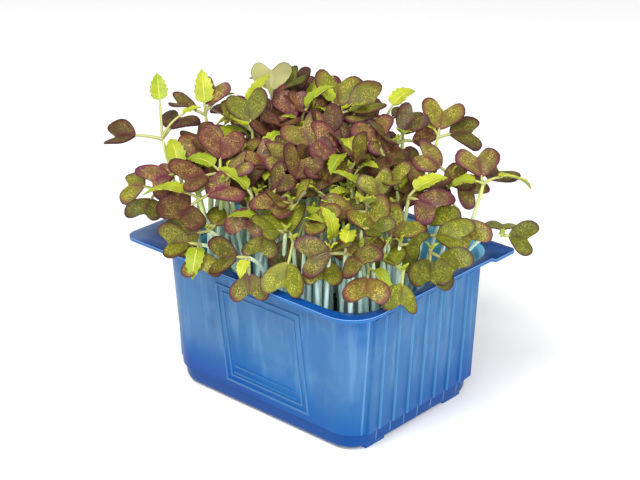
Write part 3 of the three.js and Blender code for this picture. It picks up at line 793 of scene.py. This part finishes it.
def make_soil(look):
    """A block of compost with rounded corners and a crumbled surface."""
    low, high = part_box("soil")
    middle = (low + high) / 2
    bpy.ops.mesh.primitive_cube_add(size=1, location=middle)
    soil = bpy.context.object
    edit(soil)
    size = high - low - Vector((SOIL_TRIM, SOIL_TRIM, 0)) * MM
    bpy.ops.transform.resize(value=size, center_override=middle)
    bpy.ops.mesh.select_all(action="DESELECT")
    leave_edit()
    for edge in soil.data.edges:
        a, b = (soil.data.vertices[i].co for i in edge.vertices)
        upright = abs(a.z - b.z) > (high.z - low.z) / 2
        edge.select = upright
    bpy.ops.object.mode_set(mode="EDIT")
    bpy.ops.mesh.select_mode(type="EDGE")
    bpy.ops.mesh.bevel(offset=SOIL_CORNER * MM, segments=8, affect="EDGES")
    leave_edit()
    bpy.ops.object.transform_apply(location=True, rotation=True, scale=True)
    shrink = 1 - SOIL_TRIM * MM / (high.x - low.x) * FOOT_TRIM
    for vertex in soil.data.vertices:
        if vertex.co.z < middle.z:
            vertex.co.x *= shrink
            vertex.co.y *= shrink
    apply_modifier(soil, "REMESH", mode="VOXEL", voxel_size=SOIL_GRAIN * MM)
    crumble = bpy.data.textures.new("crumble", "CLOUDS")
    crumble.noise_scale = CRUMB * MM
    crumble.noise_depth = 3
    apply_modifier(soil, "DISPLACE", texture=crumble, texture_coords="LOCAL",
                   strength=CRUMB_RISE * MM, mid_level=0.9)
    pick(soil)
    bpy.ops.object.shade_smooth()
    soil.data.materials.clear()
    soil.data.materials.append(look)
    soil.name = "soil_bed"
    return soil


# ---- Sowing -----------------------------------------------------------------

# The seedlings that shape the crop's outline, listed in the near corner's axes: across to the
# right, away from the near corner, and the crown's height over the crop's surface. Then the seed
# leaves as (turn, rise, roll[, stalk]), size, share of purple, how far the stem lies over, and any
# true leaves as (turn, rise, length, stalk).
OUTER_SEEDLINGS = [
    [-60, 15, 0, [275, 15, 15, 10], [30, 30, 0], 1.1, 0.8, 0, [[350, 80, 11, 14], [70, 65, 7, 12]]],
    [-45, 30, 0, [40, 70, 0], [275, 30, 0], 1, 0.7, 0, [[350, 85, 13, 4], [60, 50, 10, 4]]],
    [-27, 20, 0, [340, 65, 20], [290, 35, 0], 1.15, 0.2, 0, [[285, 50, 13, 2]]],
    [-20, 40, 0, [170, 105, 0], [70, 40, 0], 1.1, 0.05, 0, [[300, 75, 8, 5]]],
    [5, 30, 0, [0, 50, -15], [85, 25, -20], 1.35, 0.4, 0, [[310, 70, 11, 5], [70, 40, 8, 2]]],
    [23, 26, 0, [60, 20, 0], [290, 20, 0], 1, 0.5, 0, [[50, 70, 12, 6]]],
    [42, 16, 0, [15, 45, -10], [75, 15, -30], 1.15, 0.5, 0, [[330, 40, 13, 3]]],
    [57, -8, 0, [350, 50, 0], [30, 10, -20], 1.15, 0.6, 0, [[280, 25, 11, 3], [80, 35, 14, 6]]],
    [64, -12, -17, [90, 0, -60], [10, 5, 0], 1, 0.15, 1, []],
    [-61, -3, -6, [300, 10, 40], [200, -10, 0], 1.05, 0.4, 0, []],
    [-38, -2, 0, [0, 50, -15], [240, 5, 20], 1.25, 0.95, 0, [[300, 40, 12, 3], [70, 35, 9, 3]]],
    [-45, -15, 0, [205, 5, 25], [40, 20, -15], 1.3, 0.85, 0, [[280, 55, 17, 5], [330, 80, 11, 3]]],
    [21, 8, 0, [345, 35, 20], [165, 5, -25], 1.15, 0.8, 0, [[310, 30, 9, 2]]],
    [30, -14, 0, [30, 25, -20], [130, 10, -30], 1.25, 0.8, 0, [[70, 45, 13, 3]]],
    [-26, -14, 0, [330, 10, 20], [190, -40, 10], 1.1, 0.8, 0, [[290, 60, 13, 3]]],
    [-11, -35, 0, [350, 25, 15], [200, -45, 0, 7], 1.2, 0.1, 0, []],
    [7, -42, 2, [275, 0, 60], [150, 15, -30], 1.15, 0.5, 0, [[10, 60, 10, 3]]],
    [15, -47, 0, [185, -5, 0], [350, 30, 0], 1.15, 0.6, 0, [[130, 0, 11, 2]]],
    [27, -46, -2, [205, -20, 30], [340, 25, 0], 1, 0.05, 0.3, []],
    [37, -32, -6, [195, -10, 20], [140, 0, -40], 1.15, 0.15, 0.3, []],
    [35, -22, -8, [20, 30, -20], [110, 15, -20], 1.2, 0.1, 0.2, []],
    [21, -34, -2, [30, 30, -25], [330, 40, 20], 1.25, 0.4, 0, []],
    [-27, -38, -4, [290, 0, 50], [175, -45, 0], 1, 0.45, 0.7, [[200, 0, 7, 2]]],
    [-42, -20, -8, [250, 0, 60], [60, 20, 0], 1.1, 0.3, 0.7, []],
    [-46, -23, -10, [275, 10, 45], [175, -30, 0], 1, 0.35, 0.8, [[190, -10, 12, 2]]],
]


def plan(across, away):
    """Plan position from the near corner's axes."""
    c, s = math.cos(CORNER_VIEW * DEG), math.sin(CORNER_VIEW * DEG)
    return across * c - away * s, across * s + away * c


def corner_axes(x, y):
    """The near corner's axes from a plan position."""
    c, s = math.cos(CORNER_VIEW * DEG), math.sin(CORNER_VIEW * DEG)
    return x * c + y * s, y * c - x * s


def crop_height(away):
    """How high the crop's surface stands, by how far away from the near corner."""
    near = NEAR_SLOPE * min(away, CROP_BEND)
    far = FAR_SLOPE * within(away - CROP_BEND, 0, CROP_BACK - CROP_BEND)
    return CROP_MIDDLE + near + far - BACK_SLOPE * max(away - CROP_BACK, 0)


def drawn_true_leaves(first_turn, draw):
    """Small true leaves for a seedling whose own aren't given."""
    leaves = [[first_turn + 70 + 50 * draw(), 45 + 35 * draw(), 8 + 6 * draw(), 2 + 4 * draw()]]
    if draw() < 0.35:
        leaves.append([leaves[0][0] + 180, 30 + 30 * draw(), 6 + 3 * draw(), 2])
    return leaves


def seedling_from(row, index):
    """A seedling's stem and leaves from its row and its own draws."""
    across, away, lift, first, second, size, purple, lay, *given = row
    draw = dice(*PLANT_SEEDS, index)
    x, y = plan(across, away)
    foot = [
        within(LEAN * x + 4 * (draw() - 0.5), -SOIL_X, SOIL_X),
        within(LEAN * y + 4 * (draw() - 0.5), -SOIL_Y, SOIL_Y),
    ]
    leaves = []
    for turn, rise, roll, *stalk in (first, second):
        leaves.append({
            "kind": "seed", "turn": turn, "rise": rise, "roll": roll,
            "stalk": stalk[0] if stalk else 3 + 2.5 * draw(),
            "length": (9.6 + draw()) * size,
            "width": (7.1 + 0.7 * draw()) * size,
            "droop": 12 + 24 * draw(),
            "fold": 8 + 16 * draw(),
        })
    for turn, rise, length, stalk in given[0] if given else drawn_true_leaves(first[0], draw):
        leaves.append({
            "kind": "true", "turn": turn, "rise": rise, "length": length, "stalk": stalk,
            "roll": 30 * (draw() - 0.5), "width": 0.26 * length + 0.4,
            "droop": 45 + 50 * draw(), "fold": 10 + 14 * draw(),
        })
    crown = [x, y, crop_height(away) + lift]
    return {"foot": foot, "crown": crown, "lay": lay, "purple": purple, "leaves": leaves}


def stem_bend(plant):
    """The four points that a stem's curve follows."""
    top = np.array(plant["crown"], float)
    base = np.array([*plant["foot"], SOIL_TOP - HOLE_DEPTH + GAP])
    share = 0.3 + 0.3 * plant["lay"]
    climb = top[2] - SOIL_TOP
    rising = np.array([base[0], base[1], SOIL_TOP + (0.35 + 0.45 * plant["lay"]) * climb])
    arriving = np.array([*(top - share * (top - base))[:2], top[2] - 0.35 * (1 - plant["lay"]) * climb])
    return base, rising, arriving, top


def stem_line(plant, samples=STEM_SAMPLES):
    """Points along a stem: straight up out of its hole, then over to the crown."""
    base, rising, arriving, top = stem_bend(plant)
    t = np.linspace(0, 1, samples + 1)[:, None]
    low = (1 - t) ** 3 * base + 3 * t * (1 - t) ** 2 * rising
    return low + 3 * t * t * (1 - t) * arriving + t**3 * top


def spiral(step, k):
    """The k-th point of a spiral that widens evenly about its start."""
    reach = step * math.sqrt(k)
    return reach * math.cos(SPIRAL * k), reach * math.sin(SPIRAL * k)


def settle_stems(plants, settled, room=STEM_ROOM):
    """Moves each seedling by small steps along a spiral until its stem clears those before it."""
    for plant in plants:
        foot, crown = plant["foot"], plant["crown"]
        others = np.concatenate(settled) if settled else np.full((1, 3), 1e6)
        for k in range(TRIES):
            dx, dy = spiral(STEM_STEP, k)
            plant["foot"] = [foot[0] + dx, foot[1] + dy]
            plant["crown"] = [crown[0] + dx, crown[1] + dy, crown[2]]
            line = stem_line(plant)
            spread = line[:, None] - others[None]
            if (spread * spread).sum(2).min() > room * room:
                break
        settled.append(line)


def crown_spots(plants, count, grid, draw, reach=1.0, side=math.inf):
    """Spots for crowns on a jittered grid, the widest gap between the plants' crowns first."""
    columns, rows = grid
    spots = []
    for i in range(columns):
        for j in range(rows):
            x = reach * CROWN_X * ((i + 0.2 + 0.6 * draw()) / (columns / 2) - 1)
            y = reach * CROWN_Y * ((j + 0.2 + 0.6 * draw()) / (rows / 2) - 1)
            if corner_axes(x, y)[0] < side:
                spots.append((x, y))
    held = [plant["crown"][:2] for plant in plants]
    chosen = []
    for _ in range(count):
        room = [min(math.hypot(x - a, y - b) for a, b in held) for x, y in spots]
        best = spots[room.index(max(room))]
        chosen.append(best)
        held.append(best)
    return chosen


def lit_leaf(turn, level, draw):
    """A seed leaf's turn, rise and roll by rule: its face tips towards the light."""
    rise = level + LIGHT_TILT * math.cos(turn * DEG) + 24 * (draw() - 0.5)
    roll = 30 * (draw() - 0.5) - LIGHT_TILT * math.sin(turn * DEG)
    return [turn, rise, roll]


def row_at(spot, index):
    """A seedling's row by rule: leaves lean out of the crop, lower and greener at its near edge."""
    draw = dice(*ROW_SEEDS, index)
    across, away = corner_axes(*spot)
    outward_turn = math.atan2(across, away) / DEG
    edge = max(abs(spot[0]) / CROWN_X, abs(spot[1]) / CROWN_Y)
    turn = outward_turn + 100 * (draw() - 0.5)
    return [
        across, away, -6 * draw(),
        lit_leaf(turn, 20 - 14 * edge, draw),
        lit_leaf(turn + 150 + 60 * draw(), 16, draw),
        0.92 + 0.3 * draw(), within(0.65 + 0.012 * away + 0.5 * (draw() - 0.5), 0, 1), 0,
    ]


def depth_at(away):
    """How deep the in-fill reaches: 0 at the near corner, 1 from the middle on."""
    return within((away + 25) / 40, 0, 1)


def inner_row(spot, index):
    """A row by the same rule for a seedling under the others: smaller, and mostly with no true leaf."""
    draw = dice(*INNER_ROW_SEEDS, index)
    across, away, lift, first, second, size, purple, _ = row_at(spot, index)
    depth = depth_at(away)
    lift += 5 * (1 - depth) - 2 - (3 + 6 * depth) * draw()
    size *= 0.75 + 0.15 * depth
    row = [across, away, lift, first, second, size, purple, 0.3 * draw()]
    return row if depth * draw() > 0.7 else [*row, []]


# ---- Leaves -----------------------------------------------------------------


def bend(leaf, along, across, lift=0.0):
    """Where a flat leaf's points go once its midrib rises, droops and rolls and its halves fold."""
    rate = leaf["droop"] * DEG / (leaf["stalk"] + leaf["length"])
    rise, roll, fold = leaf["rise"] * DEG, leaf["roll"] * DEG, leaf["fold"] * DEG
    heading = (CORNER_VIEW - leaf["turn"]) * DEG
    angle = rise - rate * along
    out = ((math.sin(rise) - np.sin(angle)) / rate)[:, None]
    up = ((np.cos(angle) - math.cos(rise)) / rate)[:, None]
    ahead = np.array([-math.sin(heading), math.cos(heading), 0])
    aside = np.array([math.cos(heading), math.sin(heading), 0])
    vertical = np.array([0, 0, 1.0])
    face = np.cos(angle)[:, None] * vertical - np.sin(angle)[:, None] * ahead
    side = aside * math.cos(roll) + face * math.sin(roll)
    normal = face * math.cos(roll) - aside * math.sin(roll)
    height = (np.abs(across) * math.sin(fold) + lift)[:, None]
    spread = (across * math.cos(fold))[:, None]
    return leaf["origin"] + ahead * out + vertical * up + side * spread + normal * height


def turned(plant, leaf, k):
    """The leaf turned and raised by the k-th step of a spiral of angles, set on its stem."""
    _, _, arriving, top = stem_bend(plant)
    back = (arriving - top) / np.linalg.norm(arriving - top)
    origin = top + back * CROWN_GAP[leaf["kind"]]
    turn, rise = spiral(LEAF_STEP, k)
    return {**leaf, "turn": leaf["turn"] + turn, "rise": leaf["rise"] + rise, "origin": origin}


# Corners of the nodes' blades, as [share of length, share of half width].
CAD_CORNERS = {
    "seed": [[0.36, 0.8], [0.74, 1], [1, 0.58]],
    "true": [[0.3, 0.95], [0.45, 0.76], [0.63, 0.88], [1, 0]],
}


def found_turn(plant, leaf, corners):
    """The leaf at the step where its node's blade stands, known by its corners, or None."""
    half = CAD_CORNERS[leaf["kind"]]
    u = np.array([p[0] for p in half] * 2)
    v = np.array([p[1] for p in half] + [-p[1] for p in half])
    for k in range(TRIES):
        placed = turned(plant, leaf, k)
        at = bend(placed, leaf["stalk"] + u * leaf["length"], v * leaf["width"], CAD_BLADE / 2)
        hits = sum(corners.find(point * MM)[2] < CORNER_MATCH * MM for point in at)
        if hits >= CORNERS_FOUND * len(at):
            return placed
    return None


def seed_leaf_pattern():
    """A flat two-lobed blade, modelled once: its edge runs from the stalk round to the notch."""
    edge = [(0, 0.03), (0.04, 0.22), (0.15, 0.5), (0.33, 0.79), (0.53, 0.96), (0.73, 1.0), (0.9, 0.9),
            (0.99, 0.74), (1.0, 0.58), (0.95, 0.41), (0.85, 0.24), (0.75, 0.1), (SEED_NOTCH, 0)]
    return blade_pattern("seed_leaf_pattern", even_curve(edge, 14), SEED_NOTCH, 5)


def swell(u):
    """Half width of a true leaf along its length, as a share of the widest."""
    return math.sin(math.pi * min(1, 0.12 + 0.88 * u) ** 0.75) ** 0.7


def true_leaf_pattern():
    """A flat toothed blade with a stalk end and a point, modelled once."""
    edge = [(0, 0.05)]
    for tooth in range(TEETH):
        dip, point = (tooth + 0.35) / TEETH, (tooth + 0.95) / TEETH
        edge.append((dip, 0.88 * swell(dip)))
        edge.append((point + 0.01, (1.04 + 0.05 * (tooth % 2)) * swell(point)))
    edge.append((1.03, 0))
    return blade_pattern("true_leaf_pattern", edge, 1.0, 3)


def blade_pattern(name, edge, notch, steps):
    """A flat grid of unit length and half width, fitted between its midrib and its edge."""
    rows = len(edge)
    bpy.ops.mesh.primitive_grid_add(x_subdivisions=2 * steps, y_subdivisions=rows - 1, size=2)
    pattern = bpy.context.object
    pattern.name = name
    for vertex in pattern.data.vertices:
        row = round((vertex.co.y + 1) / 2 * (rows - 1))
        side = vertex.co.x
        rib = notch * row / (rows - 1)
        u, v = edge[row]
        reach = abs(side)
        vertex.co = (math.copysign(reach * v, side), rib + (u - rib) * reach, 0)
    edit(pattern)
    bpy.ops.mesh.remove_doubles(threshold=1e-4)
    leave_edit()
    return pattern


def even_curve(points, count):
    """Evenly spaced points on a smooth curve through the given ones."""
    points = np.array(points, float)
    padded = np.vstack([2 * points[0] - points[1], points, 2 * points[-1] - points[-2]])
    fine = []
    for i in range(1, len(padded) - 2):
        p0, p1, p2, p3 = padded[i - 1:i + 3]
        for t in np.linspace(0, 1, 12, endpoint=False):
            fine.append(0.5 * (2 * p1 + (p2 - p0) * t + (2 * p0 - 5 * p1 + 4 * p2 - p3) * t * t
                               + (3 * p1 - p0 - 3 * p2 + p3) * t**3))
    fine = np.array(fine + [points[-1]])
    run = np.concatenate([[0], np.cumsum(np.linalg.norm(np.diff(fine, axis=0), axis=1))])
    places = np.linspace(0, run[-1], count + 1)
    return np.column_stack([np.interp(places, run, fine[:, 0]), np.interp(places, run, fine[:, 1])])


def grown_blade(pattern, leaf, plant, chance, light):
    """A copy of the pattern blade, bent into its place."""
    blade = pattern.copy()
    blade.data = pattern.data.copy()
    bpy.context.scene.collection.objects.link(blade)
    flat = np.zeros(len(blade.data.vertices) * 3)
    blade.data.vertices.foreach_get("co", flat)
    flat = flat.reshape(-1, 3)
    along = leaf["stalk"] + flat[:, 1] * leaf["length"]
    across = flat[:, 0] * leaf["width"]
    if leaf["kind"] == "seed":
        curl = (CURL * chance - CURL_LESS) * flat[:, 0] ** 2
        dome = DOME * np.sin(math.pi * np.abs(flat[:, 0])) * flat[:, 1]
        wave = WAVE * np.sin(5 * flat[:, 1] + 9 * light) * flat[:, 0]
        lift = wave + dome - curl
    else:
        lift = RIPPLE * np.sin(11 * flat[:, 1] + 6 * chance) * np.abs(flat[:, 0]) ** 1.5
    bent = bend(leaf, along, across, lift) * MM
    blade.data.vertices.foreach_set("co", bent.ravel())
    tone = blade.data.attributes.new("tone", "FLOAT_VECTOR", "POINT")
    tone.data.foreach_set("vector", np.tile([plant["purple"], chance, light], len(flat)))
    return blade


def round_rods(name, rods, look, fine=2):
    """Tapered round rods: each a line of points with a radius at each."""
    curve = bpy.data.curves.new(name, "CURVE")
    curve.dimensions = "3D"
    curve.bevel_depth = MM
    curve.bevel_resolution = fine
    curve.use_fill_caps = True
    for line, radii in rods:
        rod = curve.splines.new("POLY")
        rod.points.add(len(line) - 1)
        for point, at, radius in zip(rod.points, line, radii):
            point.co = (*(np.array(at) * MM), 1)
            point.radius = radius
    rods_made = bpy.data.objects.new(name, curve)
    bpy.context.scene.collection.objects.link(rods_made)
    pick(rods_made)
    bpy.ops.object.convert(target="MESH")
    rods_made.data.materials.append(look)
    return rods_made


def grown_clump(name, plants, patterns, looks, draw):
    """Every stem, stalk and blade of a clump as one piece."""
    blades = {"seed": [], "true": []}
    stems, stalks = [], []
    for plant in plants:
        line = stem_line(plant, STEM_POINTS)
        line = line[line[:, 2] > SOIL_TOP - STEM_SUNK]
        t = np.linspace(0, 1, len(line))
        stems.append((line, STEM * (0.9 + 0.25 * draw() - 0.2 * t - 0.3 * (t > 0.99))))
        for leaf in plant["grown"]:
            kind = leaf["kind"]
            blades[kind].append(grown_blade(patterns[kind], leaf, plant, draw(), draw()))
            run = np.linspace(0, leaf["stalk"] + STALK_SUNK * leaf["length"], len(STALK_TAPER))
            path = bend(leaf, run, np.zeros(len(run)), -0.15 * (run > leaf["stalk"]))
            stalks.append((path, STALK[kind] * np.array(STALK_TAPER)))
    parts = []
    for kind in ("seed", "true"):
        if not blades[kind]:
            continue
        sheet = join(blades[kind], f"{name}_{kind}")
        sheet.data.materials.clear()
        sheet.data.materials.append(looks[kind + "_top"])
        sheet.data.materials.append(looks[kind + "_under"])
        apply_modifier(sheet, "SOLIDIFY", thickness=BLADE * MM, offset=0.0, material_offset=1)
        pick(sheet)
        bpy.ops.object.shade_smooth_by_angle(angle=50 * DEG)
        parts.append(sheet)
    for kind, rods, fine in (("stem", stems, 2), ("stalk", stalks, 1)):
        made = round_rods(f"{name}_{kind}", rods, looks[kind], fine)
        pick(made)
        bpy.ops.object.shade_smooth()
        parts.append(made)
    return join(parts, name)


def add_bud(plant, draw):
    """Two tiny upright leaves at the growing point."""
    turn = 360 * draw()
    for side in (0, 180):
        bud = {
            "kind": "true", "turn": turn + side, "rise": 55 + 25 * draw(), "roll": 0, "stalk": 0.6,
            "length": 2 + 1.6 * draw(), "width": 0.9, "droop": 30, "fold": 25,
        }
        plant["grown"].append(turned(plant, bud, 0))


def leaf_samples(leaf):
    """Points spread over a blade, for keeping leaves apart."""
    u = np.array([0.15, 0.5, 0.5, 0.5, 0.8, 0.8, 0.8, 1.0, 1.0]) * leaf["length"] + leaf["stalk"]
    v = np.array([0, -0.7, 0, 0.7, -0.9, 0, 0.9, -0.5, 0.5]) * leaf["width"]
    return bend(leaf, u, v)


# ---- Growing ----------------------------------------------------------------


def sown(x, y):
    """The nearest place inside the soil's rounded edge."""
    x, y = within(x, -INNER_X, INNER_X), within(y, -INNER_Y, INNER_Y)
    past_x, past_y = abs(x) - INNER_X + INNER_CORNER, abs(y) - INNER_Y + INNER_CORNER
    if min(past_x, past_y) > 0:
        back = min(1, INNER_CORNER / math.hypot(past_x, past_y))
        x = math.copysign(INNER_X - INNER_CORNER + back * past_x, x)
        y = math.copysign(INNER_Y - INNER_CORNER + back * past_y, y)
    return [x, y]


def grow_known(plants):
    """Grows the leaves of the seedlings that have nodes as the nodes have them."""
    for number, plant in enumerate(plants):
        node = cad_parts[f"seedling_{number + 1:02d}"]
        corners = kdtree.KDTree(len(node.data.vertices))
        for vertex in node.data.vertices:
            corners.insert(vertex.co, vertex.index)
        corners.balance()
        found = [found_turn(plant, leaf, corners) for leaf in plant["leaves"]]
        plant["grown"] = [leaf for leaf in found if leaf]


def grow_inner(plants, taken):
    """Grows the seedlings between those, each leaf at the roomiest of its steps."""
    low, high = cad_box
    for plant in plants:
        crowd = kdtree.KDTree(len(taken))
        for i, point in enumerate(taken):
            crowd.insert(point, i)
        crowd.balance()
        plant["grown"] = []
        away = corner_axes(*plant["crown"][:2])[1]
        depth = depth_at(away)
        lowest = crop_height(away) - 4 - 15 * depth  # leaves stay above this
        least = 3.3 - 2.1 * depth  # and this far from the others' points
        for leaf in plant["leaves"]:
            best, best_room = None, -1
            for k in range(0, INNER_TRIES, 2):
                placed = turned(plant, leaf, k)
                points = leaf_samples(placed)
                room = min(crowd.find(point)[2] for point in points)
                inside = all((low[i] < point[i] * MM < high[i]) for point in points for i in range(3))
                inside = inside and points[:, 2].min() > lowest
                if inside and room > best_room:
                    best, best_room = placed, room
                if inside and room > 2 * least:
                    break
            if best and best_room > least:
                plant["grown"].append(best)
                taken += list(leaf_samples(best))


# ---- Build ------------------------------------------------------------------

looks = {
    "seed_top": seed_leaf_top(),
    "seed_under": seed_leaf_under(),
    "true_top": true_leaf_side(
        "true_leaf_top", shade(104, 130, 8), shade(190, 190, 38), shade(214, 210, 96), 0.45),
    "true_under": true_leaf_side(
        "true_leaf_under", shade(140, 158, 62), shade(168, 182, 88), shade(196, 204, 130), 0.5),
    "stem": stem_skin(),
    "stalk": stalk_skin(),
    "soil": soil_crumb(),
    "wall": tray_wall(),
    # the inside: blue plastic painted bright cyan, a painted glow standing for light coming through the
    # walls
    "inside": plain_plastic("tray_inside_painted_light", shade(100, 184, 234), shade(132, 208, 244)),
    "rim": rim_plastic(),
    "foot": plain_plastic("tray_foot", shade(0, 62, 130), shade(6, 76, 146)),
    "relief": plain_plastic("tray_relief", shade(46, 96, 146), shade(58, 108, 156)),
    "bar": plain_plastic("tray_bar", shade(10, 82, 142), shade(22, 94, 152)),
}

deselect()
tray = make_tray(looks)
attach(tray, "root")
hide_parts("tray")

soil = make_soil(looks["soil"])
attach(soil, "root")
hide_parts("soil")

outer = [seedling_from(row, i) for i, row in enumerate(OUTER_SEEDLINGS)]
spots = crown_spots(outer, SEEDLINGS - len(outer), SPOT_GRID, dice(SPOT_SEED))
plants = outer + [seedling_from(row_at(spot, i), len(outer) + i) for i, spot in enumerate(spots)]
stem_lines = []
settle_stems(plants, stem_lines)
grow_known(plants)

spots = crown_spots(plants, INNER_SEEDLINGS, INNER_GRID, dice(INNER_SPOT_SEED), INNER_REACH, OPEN_SIDE)
inner = []
for i, spot in enumerate(spots):
    inner.append(seedling_from(inner_row(spot, INNER_ROW_NUMBER + i), INNER_PLANT_NUMBER + i))
draw = dice(INNER_LEAN_SEED)
for plant in inner:
    x, y, _ = plant["crown"]
    x = INNER_SPREAD * x + INNER_LEAN * (draw() - 0.5)
    y = INNER_SPREAD * y + INNER_LEAN * (draw() - 0.5)
    plant["foot"] = sown(x, y)
settle_stems(inner, stem_lines, INNER_ROOM)
for plant in inner:
    plant["foot"] = sown(*plant["foot"])
taken = [point for line in stem_lines for point in line]
for plant in plants:
    for leaf in plant["grown"]:
        taken += list(leaf_samples(leaf))
grow_inner(inner, taken)

for number, plant in enumerate(plants + inner):
    if all(leaf["kind"] == "seed" for leaf in plant["grown"]):
        add_bud(plant, dice(*BUD_SEEDS, number))

patterns = {"seed": seed_leaf_pattern(), "true": true_leaf_pattern()}
for number, plant in enumerate(plants):
    name = f"seedling_{number + 1:02d}"
    piece = grown_clump(name + "_grown", [plant], patterns, looks, dice(*PIECE_SEEDS, number))
    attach(piece, "root")
    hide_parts(name)
for batch in range(INNER_PIECES):
    clump = inner[batch::INNER_PIECES]
    name = f"inner_seedlings_{batch + 1}"
    piece = grown_clump(name, clump, patterns, looks, dice(*INNER_PIECE_SEEDS, batch))
    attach(piece, "root")
for pattern in patterns.values():
    bpy.data.objects.remove(pattern)

# ---- Stage, camera, light ---------------------------------------------------


def area_light(name, place, target, size, power):
    """A soft white lamp turned to its target."""
    light = bpy.data.lights.new(name, "AREA")
    light.energy = power
    light.size = size
    lamp = bpy.data.objects.new(name, light)
    lamp.location = place
    lamp.visible_camera = False
    lamp.rotation_euler = (Vector(target) - Vector(place)).to_track_quat("-Z", "Y").to_euler()
    bpy.context.scene.collection.objects.link(lamp)


deselect()
bpy.ops.mesh.primitive_plane_add(size=8, location=(0, 0, 0))
floor = bpy.context.object
floor.name = "floor"
pale = Finish("pale_floor", roughness=0.9, specular=0.1)
pale.colour((0.9, 0.9, 0.9))
floor.data.materials.append(pale.material)

VIEW_TURN = 42.10
VIEW_RISE = 23.62
VIEW_DISTANCE = 627.4
VIEW_ASIDE = -1.70  # the point aimed at, to the right of the tray's middle
VIEW_HEIGHT = 59.35
VIEW_LENS = 95.6
turn, rise = VIEW_TURN * DEG, VIEW_RISE * DEG
right = Vector((math.cos(turn), math.sin(turn), 0))
back = Vector((math.sin(turn) * math.cos(rise), -math.cos(turn) * math.cos(rise), math.sin(rise)))
target = right * (VIEW_ASIDE * MM) + Vector((0, 0, VIEW_HEIGHT * MM))
camera = bpy.data.objects.new("camera", bpy.data.cameras.new("camera"))
camera.data.lens = VIEW_LENS
camera.data.clip_start = 0.01
camera.location = target + back * (VIEW_DISTANCE * MM)
camera.rotation_euler = back.to_track_quat("Z", "Y").to_euler()
bpy.context.scene.collection.objects.link(camera)
bpy.context.scene.camera = camera

middle = (0, 0, 0.06)
area_light("key", right * -0.45 + back * 0.55 + Vector((0, 0, 0.9)), middle, 0.5, 12.5)
area_light("fill", right * 0.9 + back * 0.6 + Vector((0, 0, 0.3)), middle, 0.8, 6.5)
area_light("front", back * 1.0 + Vector((0, 0, 0.1)), middle, 0.8, 8.2)
sky = bpy.data.worlds.new("studio")
sky.use_nodes = True
sky.node_tree.nodes["Background"].inputs["Color"].default_value = (1, 1, 1, 1)
sky.node_tree.nodes["Background"].inputs["Strength"].default_value = 0.56
bpy.context.scene.world = sky
bpy.context.scene.view_settings.view_transform = "Standard"
